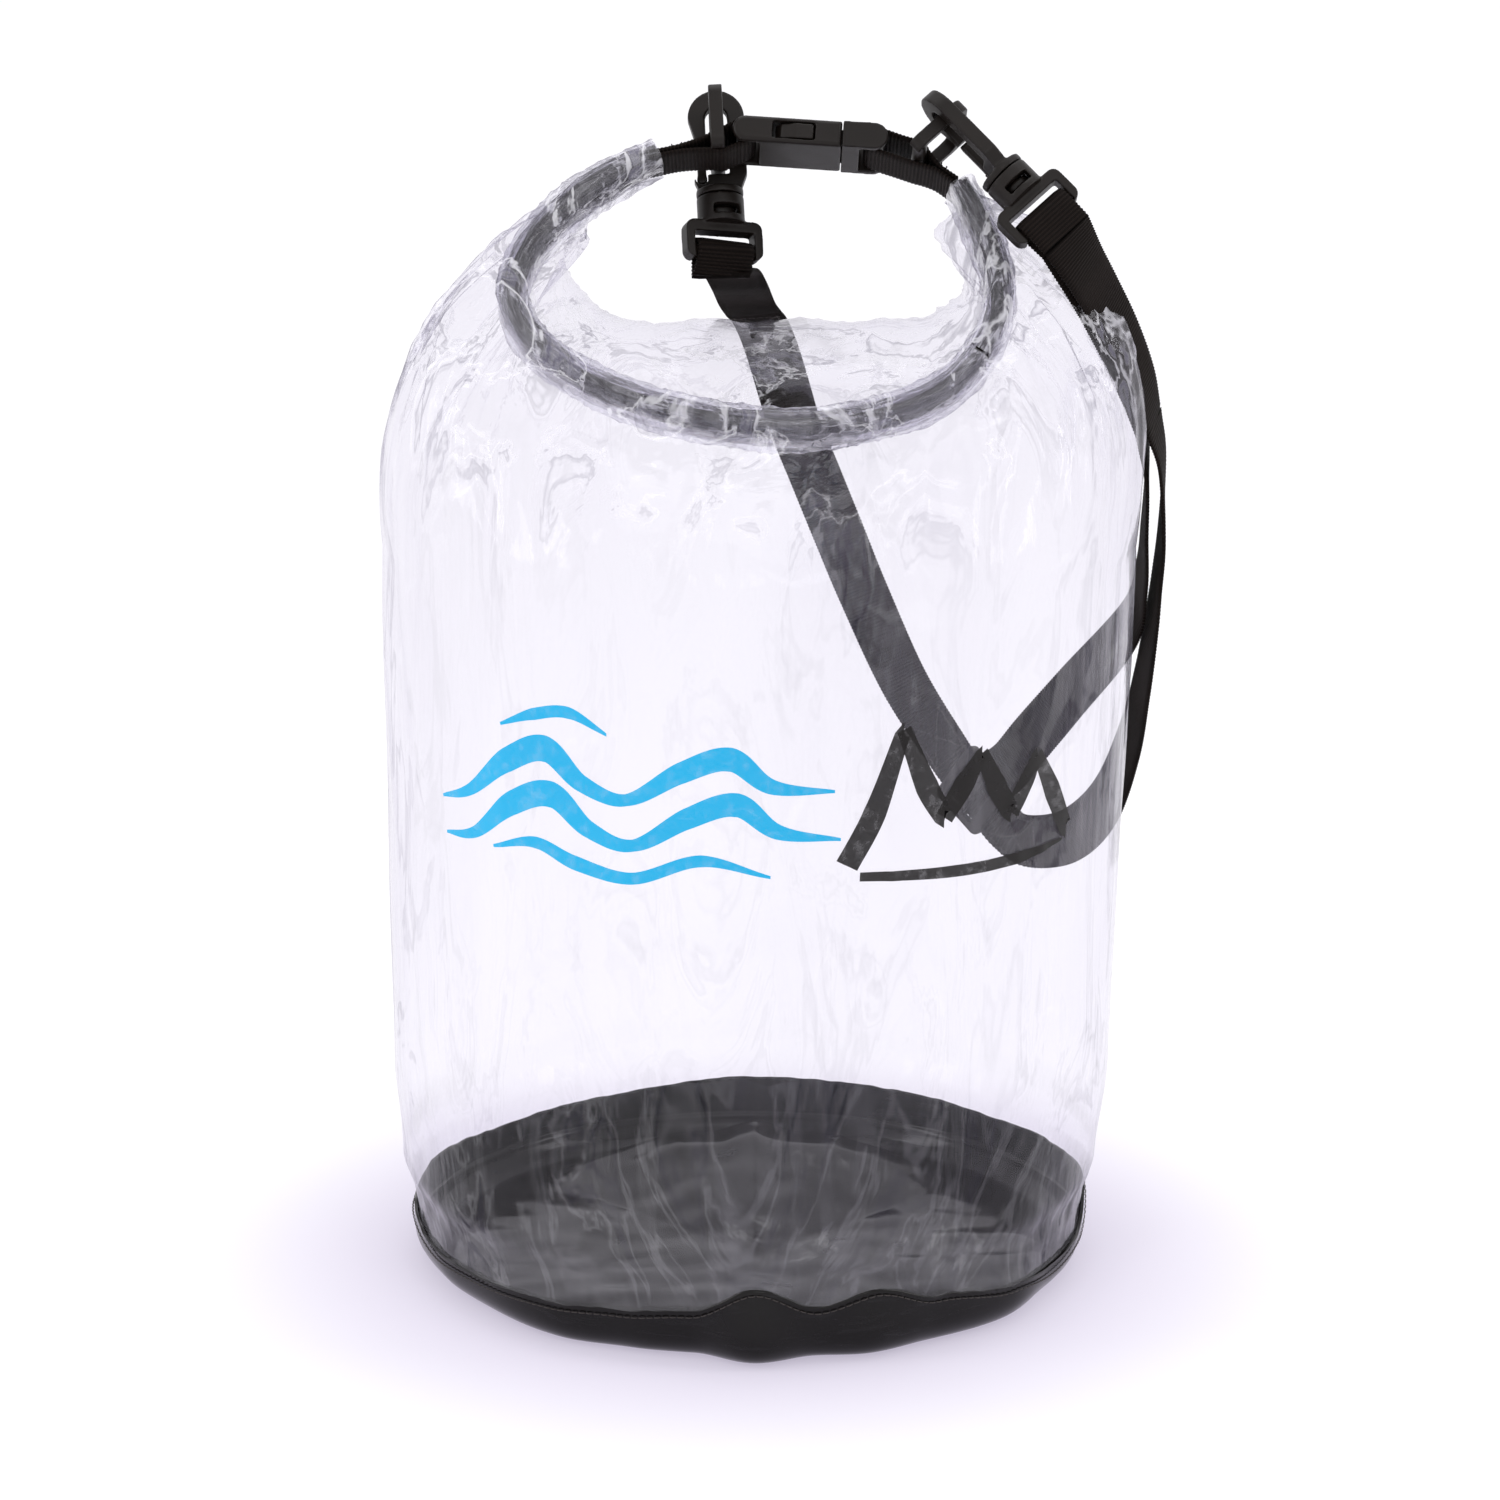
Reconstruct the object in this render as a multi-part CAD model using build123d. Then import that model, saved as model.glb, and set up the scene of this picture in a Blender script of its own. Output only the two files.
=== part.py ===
from build123d import *
import os
from math import cos, radians, sin

# All sizes in millimetres. +Z up, +X right, the front faces -Y.
# Origin: centre of the base, on the surface that the bag stands on.

# Bag
BASE_R = 120.0
RIM_H = 24.0
BASE_WALL = 1.0
BASE_CORNER = 11.0
FILM = 0.5
FIT = 0.35
# half width, half depth, centre Y, height of each section of the film tube
TUBE_SECTIONS = [
    (118.6, 118.6, 0.0, 12.5),
    (118.6, 118.6, 0.0, 26.0),
    (122.0, 122.0, 0.0, 36.0),
    (125.0, 125.0, 0.0, 60.0),
    (127.0, 127.0, 0.0, 110.0),
    (128.5, 128.5, 0.0, 190.0),
    (129.0, 128.0, 0.0, 258.0),
    (127.5, 120.0, 2.0, 272.0),
    (126.0, 107.0, 10.0, 282.0),
    (124.0, 75.0, 35.0, 293.0),
    (118.0, 60.0, 40.0, 306.0),
    (106.0, 36.0, 45.0, 318.0),
    (90.0, 18.0, 45.0, 326.0),
]

# Handle: the rolled mouth, its webbing and the buckle lie in one leaning plane.
# On it, x runs right, y up the lean and z towards the front.
LEAN = 26.0
HANDLE = Plane(
    origin=(0, -50, 307),
    x_dir=(1, 0, 0),
    z_dir=(0, -cos(radians(LEAN)), sin(radians(LEAN))),
)

# Rolled mouth
ROLL_PATH = [
    (-33.0, 91.0),
    (-60.0, 76.0),
    (-79.0, 52.0),
    (-74.0, 25.0),
    (-38.0, 3.0),
    (4.0, -3.0),
    (50.0, 0.0),
    (80.0, 21.0),
    (83.0, 54.0),
    (71.0, 79.0),
]
ROLL_BENDS = [30.0, 30.0, 30.0, 60.0, 150.0, 60.0, 28.0, 60.0]
ROLL_W = 24.0
ROLL_T = 9.0
ROLL_ROUND = 3.5
STRIP_W = 20.0
STRIP_T = 2.0
STRIP_FIT = 0.2
ARM_CUT = 47.0
ARM_GAP = 0.6

# 20 mm webbing
WEB_W = 20.0
WEB_T = 1.5
BAR_R = 2.4
LOOP_R = 2.8
# where the webbing leaves each end of the roll
LEFT_TAIL = (-29.5, 92.0)
RIGHT_TAIL = (66.0, 84.6)

# Side-release buckle; its length runs along x, its width along z
BUCKLE_AT = (20.0, 96.5)
BUCKLE_TURN = -4.0
BUCKLE_HALF_L = 26.0
BUCKLE_HALF_W = 13.0
BUCKLE_HALF_T = 4.5
SOCKET_MOUTH = 10.6
SPLIT_GAP = 0.3
BAR_AT = 22.4
EAR_W = 2.6
SLOT_END = 16.8
BUCKLE_EDGE = 1.6
CAVITY_START = -13.0
CAVITY_HALF_W = 10.4
CAVITY_HALF_T = 3.0
WINDOW = (-12.6, 1.7)
GUIDE_END = -8.0
GUIDE_HALF_T = 1.5
GUIDE_HALF_W = 2.2
POCKET_HALF_T = 3.1
PRONG_HALF_T = 2.6
PRONG_ROOT = (12.6, 8.0)
PRONG_ROOT_R = 1.9
PRONG_OUTLINE = [
    (12.6, 6.8),
    (-2.0, 6.8),
    (-10.8, 7.6),
    (-11.8, 8.8),
    (-9.6, 11.4),
    (-5.0, 12.9),
    (0.6, 12.9),
    (1.3, 12.3),
    (1.3, 9.4),
    (12.6, 9.4),
]

# Ring that the strap clips to: a bar, two arms and an arched end
RING_BAR_R = 2.5
RING_INNER_W = 29.2
RING_WALL = 3.3
RING_INNER_H = 16.4
RING_OUTER_H = 19.7
RING_T = 4.6
RING_ROUND = 4.0
RING_FOOT = 3.2
RING_OFFSET = 4.3
LEFT_RING_AT = (-10.8, 94.3)
LEFT_RING_TURN = 93.0
RIGHT_RING_AT = (56.3, 90.0)
RIGHT_RING_TURN = 43.0

# Swivel snap hook. Its z runs up the shank to the bend, x towards the spine.
HOOK_T = 5.0
BEND_IN = 3.75
BEND_OUT = 9.6
NOSE_TIP = -9.0
THROAT_END = -20.2
SHANK_END = -25.6
FLANGE_R = 8.0
FLANGE_END = -28.0
STEM_R = 3.5
STEM_END = -35.0
STEM_HEAD_R = 5.0
STEM_HEAD_TOP = -32.8
GATE_X = -5.7
GATE_HINGE_Z = -21.6
GATE_TIP_Z = -11.0
GATE_R = 1.5
KNUCKLE_R = 1.8
BARREL_TOP = -28.4
BARREL_END = -38.0
CHAMBER_TOP = -32.3
CHAMBER_END = -35.6
CHAMBER_R = 5.5
EYE_HALF_W = 13.6
EYE_RAIL = 3.0
EYE_HALF_T = 3.2
EYE_TOP = -37.0
EYE_SLOT_TOP = -41.0
EYE_BAR_Z = -47.6
EYE_END = -50.4
# centre of the bend on the handle's plane, its depth, and where the shank points
LEFT_HOOK_AT = (-11.6, 111.4, -15.9)
LEFT_HOOK_TURN = -87.0
LEFT_EYE_TURN = 20.0
RIGHT_HOOK_AT = (64.8, 98.5, 20.5)
RIGHT_HOOK_TURN = -47.0
RIGHT_EYE_TURN = 90.0

# Strap slider
SLIDER_L = 24.0
SLIDER_W = 27.0
SLIDER_T = 3.2
SLIDER_BAR = 4.0
SLIDER_SLOT = 4.6
SLIDER_CORNER = 3.0
SLIDER_AT = (84.0, 103.6, 142.5)
SLIDER_ALONG = (0.62, -0.5, -0.6)

# Shoulder strap
# Where the strap's two legs end below each eye, in the eye's own y and z, and
# half the gap between them there
LEFT_LEGS = ((3.4, -54.6), 0.35)
RIGHT_LEGS = ((0.0, -57.0), 1.85)
# centre of the webbing and the direction that its face looks, along each length
LEFT_UPPER = [
    ((-6.9, 1.0, 352.6), (0, 0.35, 1)),
    ((-5.6, 18.0, 347.0), (0, 0.35, 1)),
    ((-4.2, 40.0, 338.5), (0, 0.4, 1)),
    ((-1.0, 62.0, 329.5), (0, 0.4, 1)),
]
BACK_RUN = [
    ((-0.8, 63.2, 329.0), (0, 0.45, 1)),
    ((3.0, 82.0, 321.5), (0.05, 0.6, 1)),
    ((8.0, 101.0, 308.0), (0.1, 1, 0.8)),
    ((12.5, 114.5, 292.0), (0.1, 1, 0.35)),
    ((17.0, 123.5, 276.0), (0.15, 1, 0.3)),
    ((24.0, 130.3, 258.0), (0.2, 1, 0.1)),
    ((33.0, 129.5, 236.0), (33, 129.5, 0)),
    ((43.0, 126.5, 212.0), (43, 126.5, 0)),
    ((58.0, 120.0, 180.0), (58, 120, 0)),
    ((74.5, 110.4, 155.0), (74.5, 110.4, 0)),
]
RIGHT_OUTER_UPPER = [
    ((104.7, -46.1, 367.0), (0.0, -0.9, 0.44)),
    ((110.5, -38.5, 357.0), (0.25, -0.9, 0.44)),
    ((117.5, -28.0, 345.0), (0.4, -0.85, 0.4)),
    ((126.0, -16.5, 329.5), (0.6, -0.75, 0.35)),
    ((133.5, -8.0, 313.0), (0.8, -0.6, 0.3)),
    ((137.9, -2.5, 299.9), (1, -0.4, 0.2)),
]
RIGHT_OUTER_RUN = [
    ((138.2, -2.0, 298.6), (1, -0.4, 0.2)),
    ((141.9, 2.0, 284.3), (1, -0.2, 0.1)),
    ((142.8, 6.0, 258.4), (1, 0, 0)),
    ((141.5, 11.0, 240.0), (1, 0.05, 0)),
    ((140.5, 14.0, 226.3), (1, 0.1, 0)),
    ((138.5, 22.0, 203.1), (1, 0.16, 0)),
    ((136.0, 40.0, 177.0), (1, 0.3, 0)),
    ((129.4, 60.0, 149.3), (1, 0.48, 0)),
    ((118.0, 76.0, 132.0), (1, 0.68, 0)),
    ((99.5, 92.5, 125.5), (1, 0.95, 0)),
]
RIGHT_INNER_UPPER = [
    ((104.7, -41.4, 364.7), (0.0, -0.9, 0.44)),
    ((109.4, -34.7, 355.1), (0.25, -0.9, 0.44)),
    ((115.9, -24.5, 343.3), (0.4, -0.85, 0.4)),
    ((123.6, -13.6, 328.1), (0.6, -0.75, 0.35)),
    ((130.4, -5.7, 311.9), (0.8, -0.6, 0.3)),
    ((134.3, -1.1, 299.2), (1, -0.4, 0.2)),
]
RIGHT_INNER_RUN = [
    ((134.5, -0.6, 298.0), (1, -0.4, 0.2)),
    ((136.9, 7.0, 280.1), (1, -0.1, 0)),
    ((136.9, 11.0, 258.7), (1, 0, 0)),
    ((136.7, 16.0, 241.0), (1, 0.1, 0)),
    ((133.9, 30.0, 221.2), (1, 0.22, 0)),
    ((116.5, 68.0, 187.4), (1, 0.6, 0)),
    ((103.5, 85.5, 166.0), (1, 0.85, 0)),
    ((95.5, 93.5, 152.0), (1, 0.95, 0)),
]

EPS = 0.01


def on_handle(at, turn=0.0, depth=0.0):
    """A place in the handle's plane: at (x, y), turned about z, moved forward."""
    return HANDLE.location * Location((at[0], at[1], depth), (0, 0, turn))


def box(x0, x1, y0, y1, z0, z1):
    """A box between two corners."""
    size = Box(x1 - x0, y1 - y0, z1 - z0)
    return Pos((x0 + x1) / 2, (y0 + y1) / 2, (z0 + z1) / 2) * size


def rod(radius, at, low, high):
    """A round rod along z between two heights."""
    return Pos(at[0], at[1], (low + high) / 2) * Cylinder(radius, high - low)


def capsule(a, b, radius_a, radius_b):
    """The flat outline of a belt drawn tight around two circles."""
    ends = (Pos(*a) * Circle(radius_a)).edges() + (Pos(*b) * Circle(radius_b)).edges()
    return make_hull(ends)


def slab(face, half):
    """A flat face in XY thickened both ways along z."""
    return extrude(face, amount=half, both=True)


# ---------------------------------------------------------------- base and film


def base_cup():
    """Round base panel with its rim turned up and welded outside the tube."""
    outer = revolve(Plane.XZ * cup_face(BASE_R, 0.0, BASE_CORNER), Axis.Z)
    inner_r = BASE_R - BASE_WALL
    inner = revolve(Plane.XZ * cup_face(inner_r, BASE_WALL, BASE_CORNER - BASE_WALL), Axis.Z)
    return outer - inner


def cup_face(radius, floor, corner):
    """Half section of a round dish with a rounded lower corner."""
    flat = radius - corner
    outline = [
        Line((0, floor), (flat, floor)),
        RadiusArc((flat, floor), (radius, floor + corner), -corner),
        Line((radius, floor + corner), (radius, RIM_H)),
        Line((radius, RIM_H), (0, RIM_H)),
        Line((0, RIM_H), (0, floor)),
    ]
    return make_face(Wire(Curve() + outline))


def film_form(inset):
    """The inflated tube with its gathered top, smaller all round by the inset."""
    faces = []
    for half_w, half_d, centre_y, height in TUBE_SECTIONS[:-1]:
        faces.append(Pos(0, centre_y, height) * Ellipse(half_w - inset, half_d - inset))
    half_w, half_d, centre_y, height = TUBE_SECTIONS[-1]
    faces.append(Pos(0, centre_y, height - inset) * Ellipse(half_w - inset, half_d - inset))
    return loft(faces, ruled=True)


def bag_body():
    """Clear film tube, open at its lower end, where the base closes it."""
    return film_form(0.0) - film_form(FILM)


# ---------------------------------------------------------------- rolled mouth


def roll_wire():
    """Centre line of the rolled mouth, from the left end to the right end."""
    points = [HANDLE.from_local_coords(Vector(x, y, 0)) for x, y in ROLL_PATH]
    return Wire(FilletPolyline(*points, radius=ROLL_BENDS).edges())


def along_roll(width, thickness, round_r=0.0):
    """A flat section swept along the whole roll, its width towards the front."""
    path = roll_wire()
    start = Plane(origin=path @ 0, x_dir=HANDLE.z_dir, z_dir=path % 0)
    section = RectangleRounded(width, thickness, round_r) if round_r else Rectangle(width, thickness)
    return sweep(start * section, path=path)


def roll_zone(side):
    """The space that holds the left arm, the right arm or the sag between them."""
    reach = 160.0
    cut = ARM_CUT
    if side == "left":
        zone = box(-reach, 0, cut, reach, -reach, reach)
    elif side == "right":
        zone = box(0, reach, cut + ARM_GAP, reach, -reach, reach)
    else:
        zone = box(-reach, reach, -reach, cut, -reach, reach)
    return HANDLE.location * zone


def roll_parts():
    """Film roll in three lengths, hollowed for the webbing inside it."""
    film = along_roll(ROLL_W, ROLL_T, ROLL_ROUND)
    hollow = along_roll(STRIP_W + 2 * STRIP_FIT, STRIP_T + 2 * STRIP_FIT)
    shell = film - hollow
    return {side: shell & roll_zone(side) for side in ("left", "sag", "right")}


def strip_parts():
    """Webbing inside the roll: one length on the bag, one on the right arm."""
    strip = along_roll(STRIP_W, STRIP_T)
    right = strip & roll_zone("right")
    rest = (strip & roll_zone("left")) + (strip & roll_zone("sag"))
    return rest, right


# ---------------------------------------------------------------- webbing ends


def end_loop(bar, ring_bar, tail):
    """Webbing from the roll's end, round the ring's bar and the buckle's bar."""
    outer_r = LOOP_R + WEB_T
    belt = capsule(bar, ring_bar, outer_r, outer_r)
    belt -= capsule(bar, ring_bar, LOOP_R, LOOP_R)
    joined = capsule(ring_bar, tail, WEB_T, WEB_T)
    joined -= Pos(*ring_bar) * Circle(LOOP_R + WEB_T / 2)
    return HANDLE.location * slab(belt + joined, WEB_W / 2)


def buckle_bar(side):
    """Handle coordinates of the buckle's webbing bar, side -1 left or +1 right."""
    turn = radians(BUCKLE_TURN)
    x = BUCKLE_AT[0] + side * BAR_AT * cos(turn)
    y = BUCKLE_AT[1] + side * BAR_AT * sin(turn)
    return x, y


# ---------------------------------------------------------------- buckle


def buckle_side(x0, x1):
    """Side outline of the buckle between two stations, with a round end."""
    full = SlotOverall(2 * BUCKLE_HALF_L, 2 * BUCKLE_HALF_T)
    keep = Pos((x0 + x1) / 2, 0) * Rectangle(x1 - x0, 4 * BUCKLE_HALF_T)
    return full & keep


def webbing_end(body, side):
    """Cut the webbing slot in an end of the buckle and leave a round bar."""
    inner = BUCKLE_HALF_W - EAR_W
    x0, x1 = sorted((side * SLOT_END, side * (BUCKLE_HALF_L + 1)))
    body -= box(x0, x1, -9, 9, -inner, inner)
    return body + rod(BAR_R, (side * BAR_AT, 0), -inner - EPS, inner + EPS)


def buckle_socket():
    """Female half: hollow body with a mouth, two side windows and a bar."""
    body = slab(buckle_side(-BUCKLE_HALF_L, SOCKET_MOUTH), BUCKLE_HALF_W)
    body = fillet(body.edges().filter_by(GeomType.LINE).group_by(Axis.Z)[-1], BUCKLE_EDGE)
    body = fillet(body.edges().filter_by(GeomType.LINE).group_by(Axis.Z)[0], BUCKLE_EDGE)
    low, high = CAVITY_START, SOCKET_MOUTH + 1
    body -= box(low, high, -CAVITY_HALF_T, CAVITY_HALF_T, -CAVITY_HALF_W, CAVITY_HALF_W)
    for side in (-1, 1):
        z0, z1 = sorted((side * (CAVITY_HALF_W - 1), side * (BUCKLE_HALF_W + 1)))
        body -= box(WINDOW[0], WINDOW[1], -CAVITY_HALF_T, CAVITY_HALF_T, z0, z1)
    return webbing_end(body, -1)


def buckle_plug():
    """Male half's base with its centre guide; the prongs are separate."""
    start = SOCKET_MOUTH + SPLIT_GAP
    body = slab(buckle_side(start, BUCKLE_HALF_L), BUCKLE_HALF_W)
    guide = box(GUIDE_END, start + 1, -GUIDE_HALF_T, GUIDE_HALF_T, -GUIDE_HALF_W, GUIDE_HALF_W)
    for side in (-1, 1):
        body -= prong_pocket(side)
    return webbing_end(body + guide, 1)


def prong_pocket(side):
    """Room in the plug's base for a prong's root to turn."""
    root_x, root_z = PRONG_ROOT
    round_room = rod(PRONG_ROOT_R + FIT, (root_x, -side * root_z), -POCKET_HALF_T, POCKET_HALF_T)
    z0, z1 = sorted((side * (root_z - 2.6), side * (root_z + 1.8)))
    way_out = box(SOCKET_MOUTH, root_x, -POCKET_HALF_T, POCKET_HALF_T, z0, z1)
    return Rot(90, 0, 0) * round_room + way_out


def prong(side):
    """Springy side arm with the latch and the pad that the finger presses."""
    arm = make_face(Polyline(*PRONG_OUTLINE, close=True))
    face = arm + Pos(*PRONG_ROOT) * Circle(PRONG_ROOT_R)
    solid = Rot(90, 0, 0) * slab(face, PRONG_HALF_T)
    return solid if side > 0 else mirror(solid, about=Plane.XY)


# ---------------------------------------------------------------- ring


def strap_ring(side):
    """Ring with its bar on z; side +1 has its spare width towards the front."""
    half = RING_INNER_W / 2
    length = RING_OUTER_H + RING_FOOT
    width = RING_INNER_W + 2 * RING_WALL
    outer = Pos(length / 2 - RING_FOOT, 0) * RectangleRounded(length, width, RING_ROUND)
    inner = Pos(RING_INNER_H / 2, 0) * RectangleRounded(RING_INNER_H, RING_INNER_W, RING_ROUND)
    between = Rectangle(2 * RING_ROUND, RING_INNER_W)
    frame = Rot(90, 0, 0) * slab(outer - inner - between, RING_T / 2)
    middle = side * RING_OFFSET
    reach = half + RING_WALL / 2
    return Pos(0, 0, middle) * frame + rod(RING_BAR_R, (0, 0), middle - reach, middle + reach)


# ---------------------------------------------------------------- snap hook


def hook_plane(at, shank_turn, spine):
    """The hook's own plane, from its bend, its shank's direction and its spine's."""
    turn = radians(shank_turn)
    origin = HANDLE.from_local_coords(Vector(*at))
    shank_end = HANDLE.from_local_coords(Vector(at[0] + cos(turn), at[1] + sin(turn), at[2]))
    spine_end = HANDLE.from_local_coords(Vector(*at) + Vector(*spine))
    return Plane(origin=origin, x_dir=spine_end - origin, z_dir=origin - shank_end)


def hook_body():
    """Nose, bend and spine in one, with the flange, stem and head below."""
    outline = [
        ThreePointArc((-BEND_OUT, 0), (0, BEND_OUT), (BEND_OUT, 0)),
        Polyline(
            (BEND_OUT, 0),
            (BEND_OUT, THROAT_END),
            (BEND_OUT - 2.2, SHANK_END),
            (-BEND_OUT + 2.6, SHANK_END),
            (-BEND_OUT + 1.0, THROAT_END - 1.6),
            (-BEND_IN + 0.6, THROAT_END),
            (BEND_IN, THROAT_END),
            (BEND_IN, 0),
        ),
        ThreePointArc((BEND_IN, 0), (0, BEND_IN), (-BEND_IN, 0)),
        Polyline((-BEND_IN, 0), (-BEND_IN, NOSE_TIP), (-BEND_OUT + 2.4, NOSE_TIP), (-BEND_OUT, 0)),
    ]
    flat = make_face(Wire(Curve() + outline))
    body = Rot(90, 0, 0) * slab(flat, HOOK_T / 2)
    body -= Rot(90, 0, 0) * slab(gate_face(FIT), HOOK_T)
    body += rod(FLANGE_R, (0, 0), FLANGE_END, SHANK_END)
    body += rod(STEM_R, (0, 0), STEM_HEAD_TOP, FLANGE_END)
    return body + rod(STEM_HEAD_R, (0, 0), STEM_END, STEM_HEAD_TOP)


def gate_face(room):
    """Side outline of the gate, grown by the room it needs."""
    arm = capsule((GATE_X, GATE_HINGE_Z), (GATE_X, GATE_TIP_Z), GATE_R + room, GATE_R + room)
    return arm + Pos(GATE_X, GATE_HINGE_Z) * Circle(KNUCKLE_R + room)


def hook_gate():
    """Sprung lever that closes the hook between the shank and the nose."""
    return Rot(90, 0, 0) * slab(gate_face(0.0), HOOK_T / 2 - 0.2)


def swivel_eye():
    """Barrel that turns on the hook's stem, with the eye for the strap."""
    barrel = rod(FLANGE_R, (0, 0), BARREL_END, BARREL_TOP)
    barrel -= rod(STEM_R + FIT, (0, 0), CHAMBER_TOP - EPS, BARREL_TOP + 1)
    barrel -= rod(CHAMBER_R, (0, 0), CHAMBER_END, CHAMBER_TOP)
    barrel -= box(-4.6, 4.6, -10, 10, CHAMBER_END, CHAMBER_TOP)
    half = EYE_HALF_W
    rails = box(-half, half, -EYE_HALF_T, EYE_HALF_T, EYE_END, EYE_TOP)
    rails = fillet(rails.edges().filter_by(Axis.Y), EYE_RAIL)
    inner = half - EYE_RAIL
    rails -= box(-inner, inner, -9, 9, EYE_END - 1, EYE_SLOT_TOP)
    bar = Rot(0, 90, 0) * Cylinder(RING_BAR_R, 2 * inner + 2 * EPS)
    return barrel + rails + Pos(0, 0, EYE_BAR_Z) * bar


def strap_turn(tail, gap):
    """Strap folded round the eye's bar; at the tail its two legs are 2 gaps apart."""
    bar = (0.0, EYE_BAR_Z)
    outer = capsule(bar, tail, LOOP_R + WEB_T, gap + WEB_T)
    inner = capsule(bar, tail, LOOP_R, gap)
    below = Pos(tail[0], tail[1] - WEB_W / 2) * Rectangle(2 * WEB_W, WEB_W)
    upright = Plane(origin=(0, 0, 0), x_dir=(0, 1, 0), z_dir=(1, 0, 0))
    return upright.location * slab(outer - inner - below, WEB_W / 2)


# ---------------------------------------------------------------- shoulder strap

def ribbon(stations):
    """Flat webbing through stations of (centre, direction that its face looks)."""
    faces = []
    for i, (centre, facing) in enumerate(stations):
        before = Vector(stations[max(i - 1, 0)][0])
        after = Vector(stations[min(i + 1, len(stations) - 1)][0])
        along = (after - before).normalized()
        across = Vector(facing).cross(along).normalized()
        faces.append(Plane(origin=centre, x_dir=across, z_dir=along) * Rectangle(WEB_W, WEB_T))
    return loft(faces, ruled=True)


def strap_slider():
    """Three-bar slider; its length runs along x and its middle bar across."""
    body = box(-SLIDER_L / 2, SLIDER_L / 2, -SLIDER_W / 2, SLIDER_W / 2, -SLIDER_T / 2, SLIDER_T / 2)
    body = fillet(body.edges().filter_by(Axis.Z), SLIDER_CORNER)
    near = SLIDER_BAR / 2
    far = near + SLIDER_SLOT
    for side in (-1, 1):
        x0, x1 = sorted((side * near, side * far))
        body -= box(x0, x1, -WEB_W / 2 - 0.6, WEB_W / 2 + 0.6, -SLIDER_T, SLIDER_T)
    return body


# ---------------------------------------------------------------- assembly


def handle_nodes():
    """Everything that lies in the handle's plane."""
    roll = roll_parts()
    rest_strip, right_strip = strip_parts()
    buckle = on_handle(BUCKLE_AT, BUCKLE_TURN)
    left_ring = on_handle(LEFT_RING_AT, LEFT_RING_TURN)
    right_ring = on_handle(RIGHT_RING_AT, RIGHT_RING_TURN)
    return {
        "mouth_roll": roll["sag"],
        "left_roll_arm": roll["left"],
        "right_roll_arm": roll["right"],
        "mouth_strip": rest_strip,
        "right_arm_strip": right_strip,
        "left_end_loop": end_loop(buckle_bar(-1), LEFT_RING_AT, LEFT_TAIL),
        "right_end_loop": end_loop(buckle_bar(1), RIGHT_RING_AT, RIGHT_TAIL),
        "buckle_socket": buckle * buckle_socket(),
        "buckle_plug": buckle * buckle_plug(),
        "front_prong": buckle * prong(1),
        "rear_prong": buckle * prong(-1),
        "left_ring": left_ring * strap_ring(-1),
        "right_ring": right_ring * strap_ring(1),
    }


def hook_nodes(side, plane, eye_turn, strap_legs):
    """A swivel hook with its gate, its eye and the strap folded round the eye."""
    place = plane.location
    turned = place * Rot(0, 0, eye_turn)
    return {
        f"{side}_hook": place * hook_body(),
        f"{side}_hook_gate": place * hook_gate(),
        f"{side}_swivel_eye": turned * swivel_eye(),
        f"{side}_strap_loop": turned * strap_turn(*strap_legs),
    }


def strap_nodes():
    """Shoulder strap in the lengths that bend at different joints."""
    slider = Plane(origin=SLIDER_AT, x_dir=SLIDER_ALONG, z_dir=(SLIDER_AT[0], SLIDER_AT[1], 0))
    return {
        "left_strap_upper": ribbon(LEFT_UPPER),
        "back_strap": ribbon(BACK_RUN),
        "outer_strap_upper": ribbon(RIGHT_OUTER_UPPER),
        "outer_strap": ribbon(RIGHT_OUTER_RUN),
        "inner_strap_upper": ribbon(RIGHT_INNER_UPPER),
        "inner_strap": ribbon(RIGHT_INNER_RUN),
        "strap_slider": slider.location * strap_slider(),
    }


def all_nodes():
    """Every sub-part by name, in place."""
    left = hook_plane(LEFT_HOOK_AT, LEFT_HOOK_TURN, (1, 0, 0))
    right = hook_plane(RIGHT_HOOK_AT, RIGHT_HOOK_TURN, (0, 0, 1))
    nodes = {"base_cup": base_cup(), "bag_body": bag_body()}
    nodes.update(handle_nodes())
    nodes.update(hook_nodes("left", left, LEFT_EYE_TURN, LEFT_LEGS))
    nodes.update(hook_nodes("right", right, RIGHT_EYE_TURN, RIGHT_LEGS))
    nodes.update(strap_nodes())
    return nodes


os.makedirs("parts", exist_ok=True)
for name, shape in all_nodes().items():
    export_step(shape, f"parts/{name}.step")
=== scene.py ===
from math import atan2, cos, degrees, pi, radians, sin, sqrt, tau

import bmesh
import bpy
from mathutils import Matrix, Vector, noise


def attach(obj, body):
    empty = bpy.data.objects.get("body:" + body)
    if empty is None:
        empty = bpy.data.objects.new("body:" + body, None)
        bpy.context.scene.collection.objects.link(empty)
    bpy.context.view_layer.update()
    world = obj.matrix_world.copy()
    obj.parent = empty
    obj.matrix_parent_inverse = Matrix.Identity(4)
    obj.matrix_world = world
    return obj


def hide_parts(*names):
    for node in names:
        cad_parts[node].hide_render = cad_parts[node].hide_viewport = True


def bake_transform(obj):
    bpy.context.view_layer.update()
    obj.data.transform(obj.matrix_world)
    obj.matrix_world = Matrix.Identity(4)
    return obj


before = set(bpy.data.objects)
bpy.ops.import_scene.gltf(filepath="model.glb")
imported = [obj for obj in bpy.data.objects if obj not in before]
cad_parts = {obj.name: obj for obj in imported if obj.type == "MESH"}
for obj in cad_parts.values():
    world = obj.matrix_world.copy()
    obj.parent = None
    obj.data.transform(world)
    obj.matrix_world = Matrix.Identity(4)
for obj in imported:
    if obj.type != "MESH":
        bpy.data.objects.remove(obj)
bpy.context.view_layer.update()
mm = 0.001

# the leaning plane of the carry handle: x right, y up the lean, z to the front

lean = radians(26)
handleAxes = Matrix(((1, 0, 0), (0, sin(lean), -cos(lean)), (0, cos(lean), sin(lean))))
handleStart = Vector((0, -50, 307))


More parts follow.
